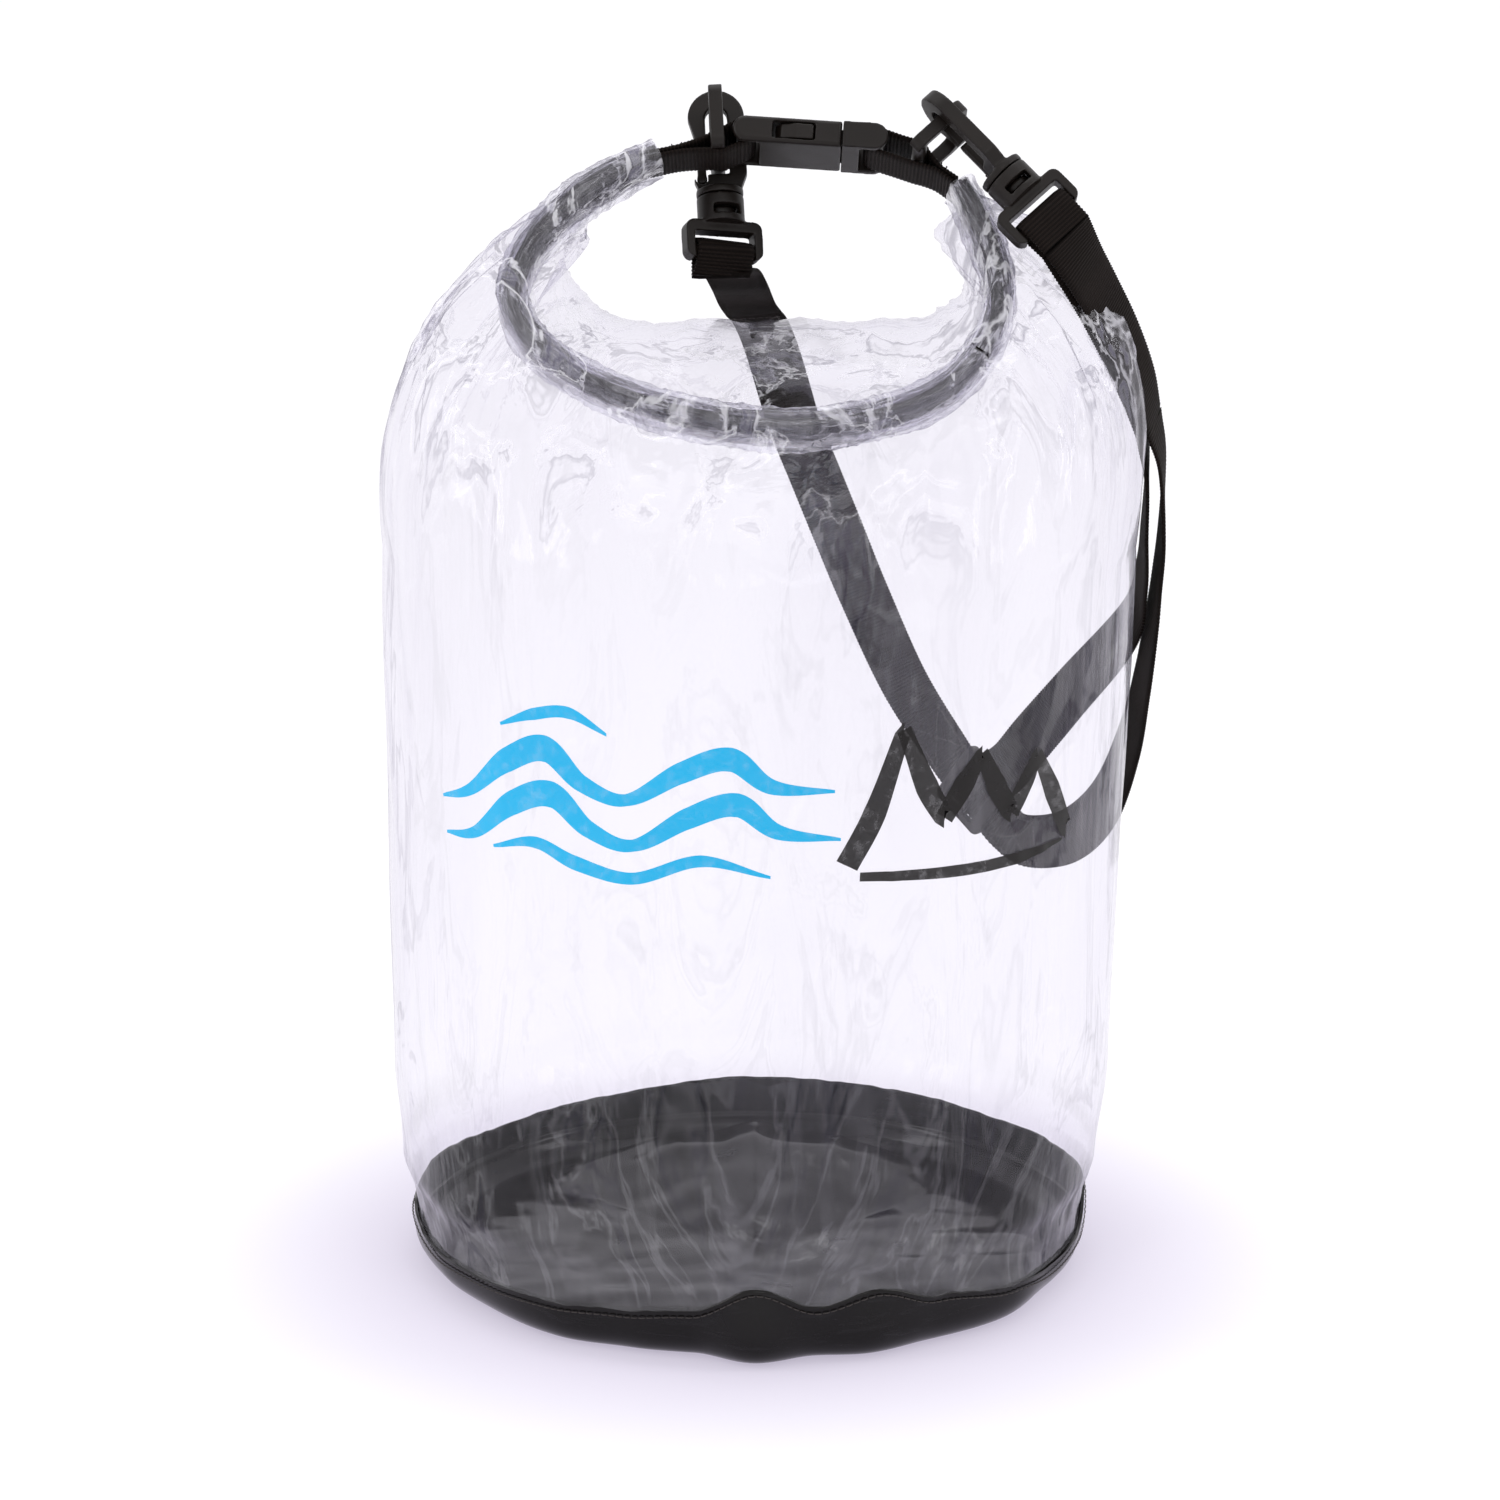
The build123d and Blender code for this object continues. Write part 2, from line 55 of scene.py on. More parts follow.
def onHandle(x, y, z=0.0):
    # a point of the handle plane, in mm
    return handleStart + handleAxes @ Vector((x, y, z))


def clamp(value):
    return min(1.0, max(0.0, value))


def ease(u):
    return u * u * (3 - 2 * u)


# shader helpers


class Value:
    # wraps a socket, so shader maths reads as plain arithmetic
    def __init__(self, tree, socket):
        self.tree = tree
        self.socket = socket

    def maths(self, operation, other, flip=False):
        a, b = (other, self) if flip else (self, other)
        return self.tree.add("Math", {"operation": operation}, {0: a, 1: b})

    def __add__(self, other):
        return self.maths("ADD", other)

    def __sub__(self, other):
        return self.maths("SUBTRACT", other)

    def __rsub__(self, other):
        return self.maths("SUBTRACT", other, flip=True)

    def __mul__(self, other):
        return self.maths("MULTIPLY", other)

    def __truediv__(self, other):
        return self.maths("DIVIDE", other)

    def __pow__(self, other):
        return self.maths("POWER", other)

    __radd__ = __add__
    __rmul__ = __mul__


class Shader:
    def __init__(self, name):
        self.material = bpy.data.materials.new(name)
        self.material.use_nodes = True
        self.tree = self.material.node_tree
        self.body = self.tree.nodes["Principled BSDF"]
        self.out = self.tree.nodes["Material Output"]

    def add(self, kind, settings=None, inputs=None, output=0):
        node = self.tree.nodes.new("ShaderNode" + kind)
        for key, value in (settings or {}).items():
            setattr(node, key, value)
        for key, value in (inputs or {}).items():
            self.feed(node.inputs[key], value)
        return Value(self, node.outputs[output])

    def feed(self, socket, value):
        if isinstance(value, Value):
            self.tree.links.new(value.socket, socket)
        else:
            socket.default_value = value

    def set(self, **values):
        for key, value in values.items():
            self.feed(self.body.inputs[key.replace("_", " ")], value)

    def ramp(self, factor, stops, smooth=False):
        node = self.tree.nodes.new("ShaderNodeValToRGB")
        node.color_ramp.interpolation = "EASE" if smooth else "LINEAR"
        elements = node.color_ramp.elements
        while len(elements) < len(stops):
            elements.new(0.5)
        for element, (place, colour) in zip(elements, stops):
            element.position = place
            element.color = (*colour, 1)
        self.feed(node.inputs[0], factor)
        return Value(self, node.outputs[0])

    def mask(self, factor, *stops, smooth=True):
        # a ramp of greys: place and grey of each stop
        return self.ramp(factor, [(place, (grey, grey, grey)) for place, grey in stops], smooth)

    def mix(self, factor, first, second):
        node = self.tree.nodes.new("ShaderNodeMix")
        node.data_type = "RGBA"
        self.feed(node.inputs[0], factor)
        for socket, value in ((node.inputs[6], first), (node.inputs[7], second)):
            self.feed(socket, value if isinstance(value, Value) else (*value, 1))
        return Value(self, node.outputs[2])

    def place(self, scale=(1, 1, 1), source="Object", turn=(0, 0, 0)):
        coords = self.add("TexCoord", output={"Object": 3, "UV": 2}[source])
        return self.add("Mapping", inputs={0: coords, 2: turn, 3: scale})

    def noise(self, where, scale, detail=3.0, rough=0.5, twist=0.0):
        inputs = {"Vector": where, "Scale": scale, "Detail": detail, "Roughness": rough, "Distortion": twist}
        return self.add("TexNoise", inputs=inputs)

    def wave(self, where, scale, twist=0.0, detail=0.0, direction="X"):
        kind = {"wave_type": "BANDS", "bands_direction": direction}
        inputs = {"Vector": where, "Scale": scale, "Distortion": twist, "Detail": detail}
        return self.add("TexWave", kind, inputs, output=1)

    def bump(self, height, distance, strength=1.0, before=None):
        inputs = {"Height": height, "Distance": distance, "Strength": strength}
        if before:
            inputs["Normal"] = before
        return self.add("Bump", inputs=inputs)


# finishes

filmLook = {
    "tint": (0.925, 0.918, 0.945),     # light that comes straight through one layer
    "milk": (0.93, 0.925, 0.96),       # colour of its haze
    "edge": (0.5, 0.47, 0.57),         # colour where the film is seen along its face
    "tone": (0.6, 0.58, 0.66),         # broad grey patches
    "shadow": (0.2, 0.19, 0.25),       # painted shade on the dark side of its creases
    "gloss": 0.07,
    "haze": 0.007,
}


def clearFilm(name, haze, tint, crinkle=1.0, dark=None):
    s = Shader(name)
    where = s.place()
    soft = s.noise(where, 9, 3, 0.55, 0.6)
    streak = s.noise(s.place((26, 26, 5)), 1.0, 4, 0.6, 1.2)
    fine = s.noise(where, 95, 3, 0.6, 0.8)
    blotch = s.noise(where, 21, 5, 0.62, 2.2)
    relief = s.bump(soft, 0.004, 0.6)
    relief = s.bump(streak, 0.0017, 0.45 * min(crinkle, 1.8), relief)
    relief = s.bump(fine, 0.0003, 0.3 * min(crinkle, 1.8), relief)
    fold = s.mask(streak, (0.5, 0), (0.56, 1), (0.62, 0))
    milky = s.mask(soft, (0.42, 0), (0.75, 1))
    # painted highlights: whiter hazy patches where the film is crumpled, without the grey tone
    crumpleHighlight = s.mask(blotch, (0.6, 0), (0.7, 1))
    gleam = s.add("LayerWeight", inputs={"Blend": 0.5, "Normal": relief}, output=1) ** 5 * 0.75 + 0.014
    sideways = s.add("LayerWeight", inputs={"Blend": 0.5}, output=1) ** 7
    # the top, near the roll, and the foot are crumpled: fine creases drawn as painted highlights and painted
    # shade
    height = s.add("SeparateXYZ", inputs={0: where}, output=2)
    top = s.mask(height * 2, (0.5, 0), (0.68, 1))
    foot = s.mask(height * 2, (0.12, 1), (0.28, 0))
    crumpled = top + foot * 0.1
    tone = s.mask(s.noise(s.place((7, 7, 1.6)), 1.0, 3, 0.5, 0.7), (0.42, 0), (0.66, 1))
    crease = s.noise(s.place((24, 24, 8), turn=(0.2, 0.3, 0)), 1.0, 4, 0.58, 1.8)
    # painted highlight and painted shade along the creases: whiter haze on one line, darker haze on the next
    creaseHighlight = s.mask(crease, (0.5, 0), (0.53, 1), (0.56, 0))
    creaseShade = s.mask(crease, (0.57, 0), (0.6, 1), (0.66, 0))
    hazy = haze + milky * haze + fold * (0.025 * crinkle) + sideways * 0.25 + tone * (0.07 - foot * 0.06)
    hazy = hazy + crumpleHighlight * (crumpled * 0.2 + 0.02)
    hazy = hazy + (creaseHighlight * 0.42 + creaseShade * 0.42) * (crumpled + 0.035)
    colour = s.mix(tone * (1 - crumpleHighlight), filmLook["milk"], filmLook["tone"])
    colour = s.mix(creaseShade, colour, filmLook["shadow"])
    colour = s.mix(sideways, colour, filmLook["edge"])
    if dark:
        stripe = s.noise(s.place((38, 13, 1), "UV"), 1.0, 5, 0.62, 2.2)
        shade = s.mask(stripe, (0.44, 0), (0.54, 1))
        colour = s.mix(shade, colour, dark)
        hazy = hazy + shade * (0.3 + top * 0.25)
    seen = gleam + hazy * (1 - gleam)
    s.set(Base_Color=colour, Metallic=gleam / seen, Roughness=filmLook["gloss"] + milky * 0.08, Normal=relief)
    clear = s.add("BsdfTransparent", inputs={"Color": (*tint, 1)})
    whole = s.add("MixShader", inputs={0: seen, 1: clear, 2: Value(s, s.body.outputs[0])})
    s.feed(s.out.inputs[0], whole)
    return s.material


def basePanel():
    s = Shader("glossyBase")
    where = s.place()
    broad = s.noise(where, 14, 3, 0.5, 0.4)
    grain = s.noise(where, 900, 2, 0.5)
    scuff = s.mask(s.noise(s.place((60, 60, 400)), 1.0, 4, 0.6, 0.5), (0.55, 0), (0.75, 1), smooth=False)
    colour = s.mix(broad, (0.004, 0.0035, 0.003), (0.009, 0.008, 0.008))
    s.set(Base_Color=s.mix(scuff * 0.15, colour, (0.05, 0.048, 0.055)))
    s.set(Roughness=0.13 + scuff * 0.16 + broad * 0.05, Specular_IOR_Level=0.2)
    s.set(Normal=s.bump(grain, 0.00004, 0.1, s.bump(broad, 0.003, 0.5)))
    return s.material


def webbingCloth():
    # UV: u runs along the webbing in metres, v across it
    s = Shader("webbing")
    along = s.place((1, 1, 1), "UV")
    rib = s.wave(along, 250, 0.3, 1.0)
    warp = s.wave(along, 700, 0.2, 1.0, "Y")
    fuzz = s.noise(along, 2600, 3, 0.7)
    wear = s.noise(along, 60, 3, 0.6)
    weave = rib * 0.7 + warp * 0.3
    # painted light and shade: the raised ribs of the weave take the lit colour, the hollows between them the
    # dark one; wear varies both at random
    dark = s.mix(wear, (0.0015, 0.0008, 0.0005), (0.003, 0.0016, 0.0011))
    lit = s.mix(wear, (0.009, 0.0052, 0.0037), (0.014, 0.0085, 0.0064))
    s.set(Base_Color=s.mix(weave * (0.55 + fuzz * 0.5), dark, lit), Roughness=0.78 - weave * 0.16)
    s.set(Specular_IOR_Level=0.1, Sheen_Weight=0.015, Sheen_Roughness=0.4, Sheen_Tint=(0.55, 0.45, 0.42, 1))
    relief = s.bump(weave, 0.00035, 0.9)
    s.set(Normal=s.bump(fuzz, 0.0001, 0.5, relief))
    return s.material


def mouldedPlastic():
    s = Shader("mouldedPlastic")
    where = s.place()
    flow = s.noise(where, 70, 3, 0.5, 0.8)
    grain = s.noise(where, 2400, 2, 0.6)
    colour = s.mix(flow, (0.005, 0.0034, 0.0026), (0.010, 0.0068, 0.0052))
    s.set(Base_Color=colour, Roughness=0.32 + flow * 0.12 + grain * 0.06, Specular_IOR_Level=0.24)
    s.set(Normal=s.bump(grain, 0.00003, 0.4, s.bump(flow, 0.0004, 0.15)))
    return s.material


def stitchThread():
    s = Shader("stitchThread")
    ply = s.wave(s.place((1, 1, 1)), 900, 2.0, 1.0, "DIAGONAL")
    s.set(Base_Color=s.mix(ply, (0.01, 0.007, 0.006), (0.035, 0.026, 0.022)), Roughness=0.6)
    s.set(Normal=s.bump(ply, 0.0001, 0.6))
    return s.material


def printInk(name, colour, shade):
    s = Shader(name)
    where = s.place()
    blot = s.noise(where, 240, 4, 0.6)
    thin = s.noise(where, 30, 3, 0.5)
    s.set(Base_Color=s.mix(thin, colour, shade), Roughness=0.3 + blot * 0.15, Specular_IOR_Level=0.2)
    s.set(Alpha=s.mask(blot, (0.2, 0.82), (0.5, 0.97), smooth=False))
    s.set(Normal=s.bump(blot, 0.00005, 0.4))
    return s.material


bagFilmLook = clearFilm("clearFilm", filmLook["haze"], filmLook["tint"])
rollFilmLook = clearFilm("rollFilm", 0.03, (0.9, 0.895, 0.93), 2.0)
rollCoreLook = clearFilm("rollCore", 0.03, (0.84, 0.83, 0.87), 1.6, dark=(0.035, 0.03, 0.038))
baseLook = basePanel()
webbingLook = webbingCloth()
plasticLook = mouldedPlastic()
threadLook = stitchThread()
cyanInk = printInk("cyanInk", (0.0, 0.36, 0.66), (0.0, 0.42, 0.74))
blackInk = printInk("blackInk", (0.006, 0.005, 0.005), (0.012, 0.01, 0.01))
print("finishes ready")


# mesh helpers


def pieceFrom(name, points, faces, look, uvs=None):
    mesh = bpy.data.meshes.new(name)
    mesh.from_pydata([tuple(p) for p in points], [], faces)
    if uvs:
        layer = mesh.uv_layers.new(name="cloth")
        for loop in mesh.loops:
            layer.data[loop.index].uv = uvs[loop.vertex_index]
    for polygon in mesh.polygons:
        polygon.use_smooth = True
    mesh.materials.append(look)
    piece = bpy.data.objects.new(name, mesh)
    bpy.context.scene.collection.objects.link(piece)
    return piece


def settle(piece):
    # turn live modifiers into plain mesh
    graph = bpy.context.evaluated_depsgraph_get()
    mesh = bpy.data.meshes.new_from_object(piece.evaluated_get(graph))
    piece.modifiers.clear()
    piece.data = mesh
    return piece


def grid(rows, columns, closed=False, caps=False):
    faces = []
    for i in range(rows - 1):
        for j in range(columns if closed else columns - 1):
            k = (j + 1) % columns
            faces.append((i * columns + j, i * columns + k, (i + 1) * columns + k, (i + 1) * columns + j))
    if caps:
        last = (rows - 1) * columns
        faces.append(tuple(reversed(range(columns))))
        faces.append(tuple(range(last, last + columns)))
    return faces


def curvePoint(points, t):
    # smooth curve through points, t from 0 to len(points) - 1
    last = len(points) - 1
    i = min(int(t), last - 1)
    u = t - i
    p1, p2 = points[i], points[i + 1]
    p0 = points[i - 1] if i else p1 * 2 - p2
    p3 = points[i + 2] if i + 2 <= last else p2 * 2 - p1
    a = p1 * 2
    b = (p2 - p0) * u
    c = (p0 * 2 - p1 * 5 + p2 * 4 - p3) * (u * u)
    d = (p1 * 3 - p0 - p2 * 3 + p3) * (u * u * u)
    return (a + b + c + d) * 0.5


def evenCurve(points, step):
    # points at even spacing along the smooth curve, with their t and their length along it
    last = len(points) - 1
    fine = 60 * last
    samples = [curvePoint(points, last * k / fine) for k in range(fine + 1)]
    lengths = [0.0]
    for a, b in zip(samples, samples[1:]):
        lengths.append(lengths[-1] + (b - a).length)
    count = max(2, round(lengths[-1] / step))
    out, k = [], 0
    for n in range(count + 1):
        goal = lengths[-1] * n / count
        while k < fine - 1 and lengths[k + 1] < goal:
            k += 1
        span = lengths[k + 1] - lengths[k]
        u = (goal - lengths[k]) / span if span else 0
        out.append((samples[k].lerp(samples[k + 1], clamp(u)), last * (k + u) / fine, goal))
    return out


def beltAxes(acrosses, t, along):
    # the way across a belt and the way its face looks, square to its run
    across = curvePoint(acrosses, t)
    across = (across - along * across.dot(along)).normalized()
    return across, along.cross(across)


# hardware: the worked-out solids with moulded, rounded edges

hardwareLook = {
    "voxel": 0.00034,      # mesh size of the moulding
    "soften": 12,          # smoothing passes that round its edges
}


def moulded(name, node, body):
    mesh = bpy.data.objects[node].data.copy()
    work = bmesh.new()
    work.from_mesh(mesh)
    bmesh.ops.remove_doubles(work, verts=work.verts, dist=1e-6)
    work.to_mesh(mesh)
    work.free()
    piece = bpy.data.objects.new(name, mesh)
    bpy.context.scene.collection.objects.link(piece)
    remesh = piece.modifiers.new("remesh", "REMESH")
    remesh.mode = "VOXEL"
    remesh.voxel_size = hardwareLook["voxel"]
    smooth = piece.modifiers.new("smooth", "SMOOTH")
    smooth.factor = 0.5
    smooth.iterations = hardwareLook["soften"]
    settle(piece)
    piece.data.materials.clear()
    piece.data.materials.append(plasticLook)
    for polygon in piece.data.polygons:
        polygon.use_smooth = True
        polygon.material_index = 0
    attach(piece, body)
    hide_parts(node)


hardware = [
    ("buckleSocket", "buckle_socket", "bag"),
    ("bucklePlug", "buckle_plug", "right_arm"),
    ("frontProng", "front_prong", "front_prong"),
    ("rearProng", "rear_prong", "rear_prong"),
    ("leftRing", "left_ring", "left_ring"),
    ("rightRing", "right_ring", "right_ring"),
    ("leftHook", "left_hook", "left_hook"),
    ("rightHook", "right_hook", "right_hook"),
    ("leftGate", "left_hook_gate", "left_gate"),
    ("rightGate", "right_hook_gate", "right_gate"),
    ("leftSwivelEye", "left_swivel_eye", "left_eye"),
    ("rightSwivelEye", "right_swivel_eye", "right_eye"),
    ("strapSlider", "strap_slider", "bag"),
]
for name, node, body in hardware:
    moulded(name, node, body)
print("hardware ready")


# film tube, shoulders and ears

bagShape = {
    "bottom": 12.0,        # where the tube starts inside the base, mm
    "shoulder": 258.0,     # where it stops being round
    "lean": 3.4,           # how far it has moved to the right there
    "radii": [(12, 118.4), (20, 118.4), (27, 119.2), (40, 122.6), (74, 126.0), (150, 127.6), (258, 128.8)],
    "columns": 400,
    "tubeRows": 90,
    "topRows": 100,
}

# the rolled mouth's line on the handle plane, from the left tip to the right tip
rollLine = [
    (-31, 92), (-44, 85.4), (-57, 77), (-68, 66), (-76, 54), (-79, 41), (-73, 28), (-60, 17), (-45, 9),
    (-24, 2), (3, -2.6), (30, -1.8), (52, 3.5), (68, 13), (79, 27), (83, 42), (80.5, 57), (75, 71), (70, 81),
]

# each seam or panel line of the top: angle, place on the roll's line (0 to 18), and the
# two pull points of its curve between the tube and the roll
topLines = [
    (180.0, 0.0, (-134, 0, 328), (-84, -8, 362)),
    (202.5, 3.0, (-130, -54, 315), (-96, -34, 355)),
    (225.0, 5.0, (-97, -97, 298), (-97, -56, 326)),
    (247.5, 8.0, (-52, -123, 285), (-52, -84, 309)),
    (270.0, 10.0, (0, -131, 282), (2, -90, 300)),
    (292.5, 12.0, (52, -123, 285), (54, -88, 305)),
    (315.0, 14.2, (99, -97, 300), (98, -60, 324)),
    (337.5, 16.3, (134, -54, 318), (105, -34, 350)),
    (360.0, 18.0, (142, 0, 335), (108, -6, 362)),
    (382.5, 16.3, (131, 54, 320), (22, 10, 388)),
    (405.0, 14.2, (98, 98, 316), (54, 20, 368)),
    (427.5, 12.0, (52, 124, 308), (50, 25, 361)),
    (450.0, 10.0, (0, 127, 306), (2, 26, 363)),
    (472.5, 8.0, (-52, 124, 308), (-42, 24, 362)),
    (495.0, 5.0, (-97, 97, 312), (-38, 24, 384)),
    (517.5, 3.0, (-122, 50, 314), (-20, 8, 382)),
]
rollPoints = [Vector((x, y, 0)) for x, y in rollLine]


def tubeRadius(z):
    pairs = bagShape["radii"]
    for (z0, r0), (z1, r1) in zip(pairs, pairs[1:]):
        if z <= z1:
            return r0 + (r1 - r0) * ease((z - z0) / (z1 - z0))
    return pairs[-1][1]


def tubeShift(z):
    # the filled tube leans a little to the right
    return bagShape["lean"] * clamp((z - 30) / 230)


# the base's welded rim all round: angle, its height, and how far the wall below it stands out
rimLine = [
    (180, 19, 0), (202, 14, -3), (215, 14.5, -4), (235, 16, -2), (248, 17, -5), (260, 19, -6), (271, 29, 2),
    (281, 21, -3), (291, 26, 0), (302, 19.5, -2), (319, 15, 0), (333, 12, -3), (349, 14, -2), (367, 25, 0),
    (385, 24, 0), (400, 22.5, 0), (420, 24, 0), (450, 25, 0), (479, 21.5, 0), (500, 20, 0), (522, 22, 0),
    (540, 19, 0),
]


def rimAt(angle, column):
    angle = 180 + (angle - 180) % 360
    for low, high in zip(rimLine, rimLine[1:]):
        if angle <= high[0]:
            return low[column] + (high[column] - low[column]) * ease((angle - low[0]) / (high[0] - low[0]))
    return rimLine[-1][column]


def rimPush(angle, z):
    return rimAt(angle, 2) * (1 - ease(clamp(z / 44)))


def around(values, angle):
    # smooth periodic blend of the top lines at any angle
    step = 22.5
    t = ((angle - 180.0) % 360.0) / step
    i = int(t)
    u = t - i
    n = len(values)
    p0, p1, p2, p3 = (values[(i + k) % n] for k in (-1, 0, 1, 2))
    a = (p3 - p0 + (p1 - p2) * 3) * (u * u * u)
    b = (p0 * 2 - p1 * 5 + p2 * 4 - p3) * (u * u)
    return (a + b + (p2 - p0) * u + p1 * 2) * 0.5


def onRoll(t, depth=0.0):
    p = curvePoint(rollPoints, t)
    return onHandle(p.x, p.y, depth)


pullLow = [Vector(line[2]) for line in topLines]
pullHigh = [Vector(line[3]) for line in topLines]
rollPlace = [line[1] for line in topLines]


def topPoint(angle, v):
    # v from 0 at the shoulder to 1 at the roll
    a = radians(angle)
    z = bagShape["shoulder"]
    r = tubeRadius(z)
    p0 = Vector((r * cos(a), r * sin(a), z))
    last = len(rollLine) - 1
    place = min(max(around(rollPlace, angle), 0), last)
    front = 1 if 180 < angle % 360 < 360 else -1
    edge = min(1.0, min(place, last - place) / 2.0)
    p3 = onRoll(place, front * 9.0 * edge)
    p1, p2 = around(pullLow, angle), around(pullHigh, angle)
    w = 1 - v
    return p0 * w ** 3 + p1 * (3 * v * w * w) + p2 * (3 * v * v * w) + p3 * v ** 3


def ridged(x, y, z, seed):
    # sharp creases: narrow ridges along the zero lines of a noise
    n = noise.noise(Vector((x, y, z + seed)))
    return max(0.0, 1 - abs(n) * 7)


def filmPush(angle, z, v):
    # how far the film stands off its even shape, mm
    a = radians(angle)
    cx, cy = cos(a), sin(a)
    push = 1.1 * noise.noise(Vector((cx * 1.7, cy * 1.7, z * 0.011)))
    push += 0.35 * noise.noise(Vector((cx * 7, cy * 7, z * 0.02 + 5)))
    # long upright creases
    push += 0.5 * ridged(cx * 5.5, cy * 5.5, z * 0.004, 11.0) * clamp((z - 40) / 60)
    # gathers above the base
    push += clamp(1 - (z - 26) / 34) * noise.noise(Vector((cx * 16, cy * 16, z * 0.05)))
    if v > 0:
        # the gathers of the top, half as strong at the back
        grow = clamp(v * 2.2) * (1 - 0.5 * clamp((cy + 0.2) / 0.4))
        push += grow * 4.2 * noise.noise(Vector((cx * 3.4, cy * 3.4, v * 2.1 + 20)))
        push += grow * 2.4 * noise.noise(Vector((cx * 9, cy * 9, v * 2.4 + 31)))
        push += grow * 1.8 * (ridged(cx * 6.5, cy * 6.5, v * 1.6, 41.0) - 0.25)
        push += grow * 1.1 * (ridged(cx * 15, cy * 15, v * 2.2, 57.0) - 0.25)
        push *= 1 - 0.75 * clamp((v - 0.8) / 0.2)
    return push


def buildFilm():
    columns, tubeRows, topRows = bagShape["columns"], bagShape["tubeRows"], bagShape["topRows"]
    bottom, shoulder = bagShape["bottom"], bagShape["shoulder"]
    rows = []
    for i in range(tubeRows):
        z = bottom + (shoulder - bottom) * i / tubeRows
        row = []
        for j in range(columns):
            angle = 180 + 360 * j / columns
            a = radians(angle)
            # inside the base the film lies flat against it
            r = tubeRadius(z) + filmPush(angle, z, 0) * clamp((z - 24) / 8) + rimPush(angle, z)
            row.append(Vector((r * cos(a) + tubeShift(z), r * sin(a), z)))
        rows.append(row)
    for i in range(topRows + 1):
        v = i / topRows
        line = [topPoint(180 + 360 * j / columns, v) for j in range(columns)]
        row = []
        for j, p in enumerate(line):
            angle = 180 + 360 * j / columns
            side = line[(j + 1) % columns] - line[j - 1]
            up = topPoint(angle, min(1, v + 0.01)) - topPoint(angle, max(0, v - 0.01))
            normal = side.cross(up)
            normal = normal.normalized() if normal.length > 1e-6 else Vector((0, 0, 1))
            shift = Vector((tubeShift(shoulder) * (1 - v), 0, 0))
            row.append(p + shift + normal * filmPush(angle, p.z, v))
        rows.append(row)
    points = [p * mm for row in rows for p in row]
    piece = pieceFrom("bagFilm", points, grid(len(rows), columns, closed=True), bagFilmLook)
    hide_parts("bag_body")
    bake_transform(piece)


buildFilm()
print("film ready")


# base panel with its wavy welded rim

baseShape = {
    "radius": 119.6,
    "wall": 1.0,
    "corner": 11.0,        # radius of the turn from floor to wall
    "rim": 24.0,           # even height of the rim, before its waves
    "columns": 360,
    "cornerSteps": 8,
    "wallSteps": 14,
    "floorSteps": 44,
}


def floorFold(x, y):
    # soft folds of the slack floor: a raised wedge at the back and a pleat at the front
    a = degrees(atan2(x - 2, y + 14))
    d = sqrt((x - 2) ** 2 + (y + 14) ** 2)
    wedge = max(0.0, 1 - abs(a) / 44)
    lift = 10 * clamp(wedge * 1.6) * clamp(d / 95) ** 1.3
    lift += 4 * clamp(1 - abs(a) / 7) * clamp(d / 60)
    lift += 5 * clamp(1 - ((x - 4) / 11) ** 2) * clamp((-30 - y) / 70)
    lift += 2.5 * clamp(1 - ((x - 42 - 0.2 * y) / 9) ** 2) * clamp((-40 - y) / 60)
    lift += 2.2 * max(0.0, noise.noise(Vector((x * 0.022, y * 0.022, 7))))
    lift += 0.7 * noise.noise(Vector((x * 0.07, y * 0.07, 17)))
    return max(0.05, 0.3 + lift * clamp((112 - sqrt(x * x + y * y)) / 14))


def buildBase():
    columns, wall, rim = baseShape["columns"], baseShape["wall"], baseShape["rim"]
    radius, corner = baseShape["radius"], baseShape["corner"]
    turns, climbs, steps = baseShape["cornerSteps"], baseShape["wallSteps"], baseShape["floorSteps"]

    def row(r, z, climb=0.0, floor=False):
        line = []
        for j in range(columns):
            angle = 180 + 360 * j / columns
            a = radians(angle)
            zz = z + climb * (rimAt(angle, 1) - rim)
            rr = r + rimPush(angle, zz) * min(1.0, r / 100)
            rr += climb * (0.5 * noise.noise(Vector((cos(a) * 9, sin(a) * 9, z * 0.08))) + 0.3)
            zz += climb * 0.5 * noise.noise(Vector((cos(a) * 22, sin(a) * 22, 4)))
            x, y = rr * cos(a), rr * sin(a)
            if floor:
                zz += floorFold(x, y)
            line.append(Vector((x, y, zz)))
        return line

    outside = [row(r, 0.0) for r in (0.5, 30, 60, 85, 100, radius - corner - 4)]
    for k in range(turns + 1):
        b = pi / 2 * k / turns
        outside.append(row(radius - corner + corner * sin(b), corner - corner * cos(b)))
    for k in range(1, climbs + 1):
        u = k / climbs
        outside.append(row(radius, corner + (rim - corner) * u, climb=u ** 1.5))
    inside = []
    for k in range(climbs, -1, -1):
        u = k / climbs
        inside.append(row(radius - wall, corner + (rim - corner) * u, climb=u ** 1.5))
    inner = corner - wall
    for k in range(turns, -1, -1):
        b = pi / 2 * k / turns
        inside.append(row(radius - corner + inner * sin(b), corner - inner * cos(b)))
    inside += [row(107 - 106.5 * k / steps, wall, floor=True) for k in range(steps + 1)]
    rows = outside + inside
    points = [p * mm for line in rows for p in line]
    faces = grid(len(rows), columns, closed=True, caps=True)
    piece = pieceFrom("basePanel", points, faces, baseLook)
    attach(piece, "bag")
    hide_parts("base_cup")


buildBase()
print("base ready")


# rolled mouth

rollShape = {
    "skin": (26.0, 11.0),  # width and thickness of the outer skin
    "core": (22.5, 8.4),   # of the grey layer inside it
    "strip": (18.5, 3.4),  # of the webbing strip
    "split": 13.6,         # where the right arm's length starts, on the roll's line
}


def rollSection(width, thick, count=36, power=0.55):
    out = []
    for k in range(count):
        a = tau * k / count
        x = abs(cos(a)) ** power * (1 if cos(a) >= 0 else -1) * thick / 2
        y = abs(sin(a)) ** power * (1 if sin(a) >= 0 else -1) * width / 2
        out.append((x, y))
    return out


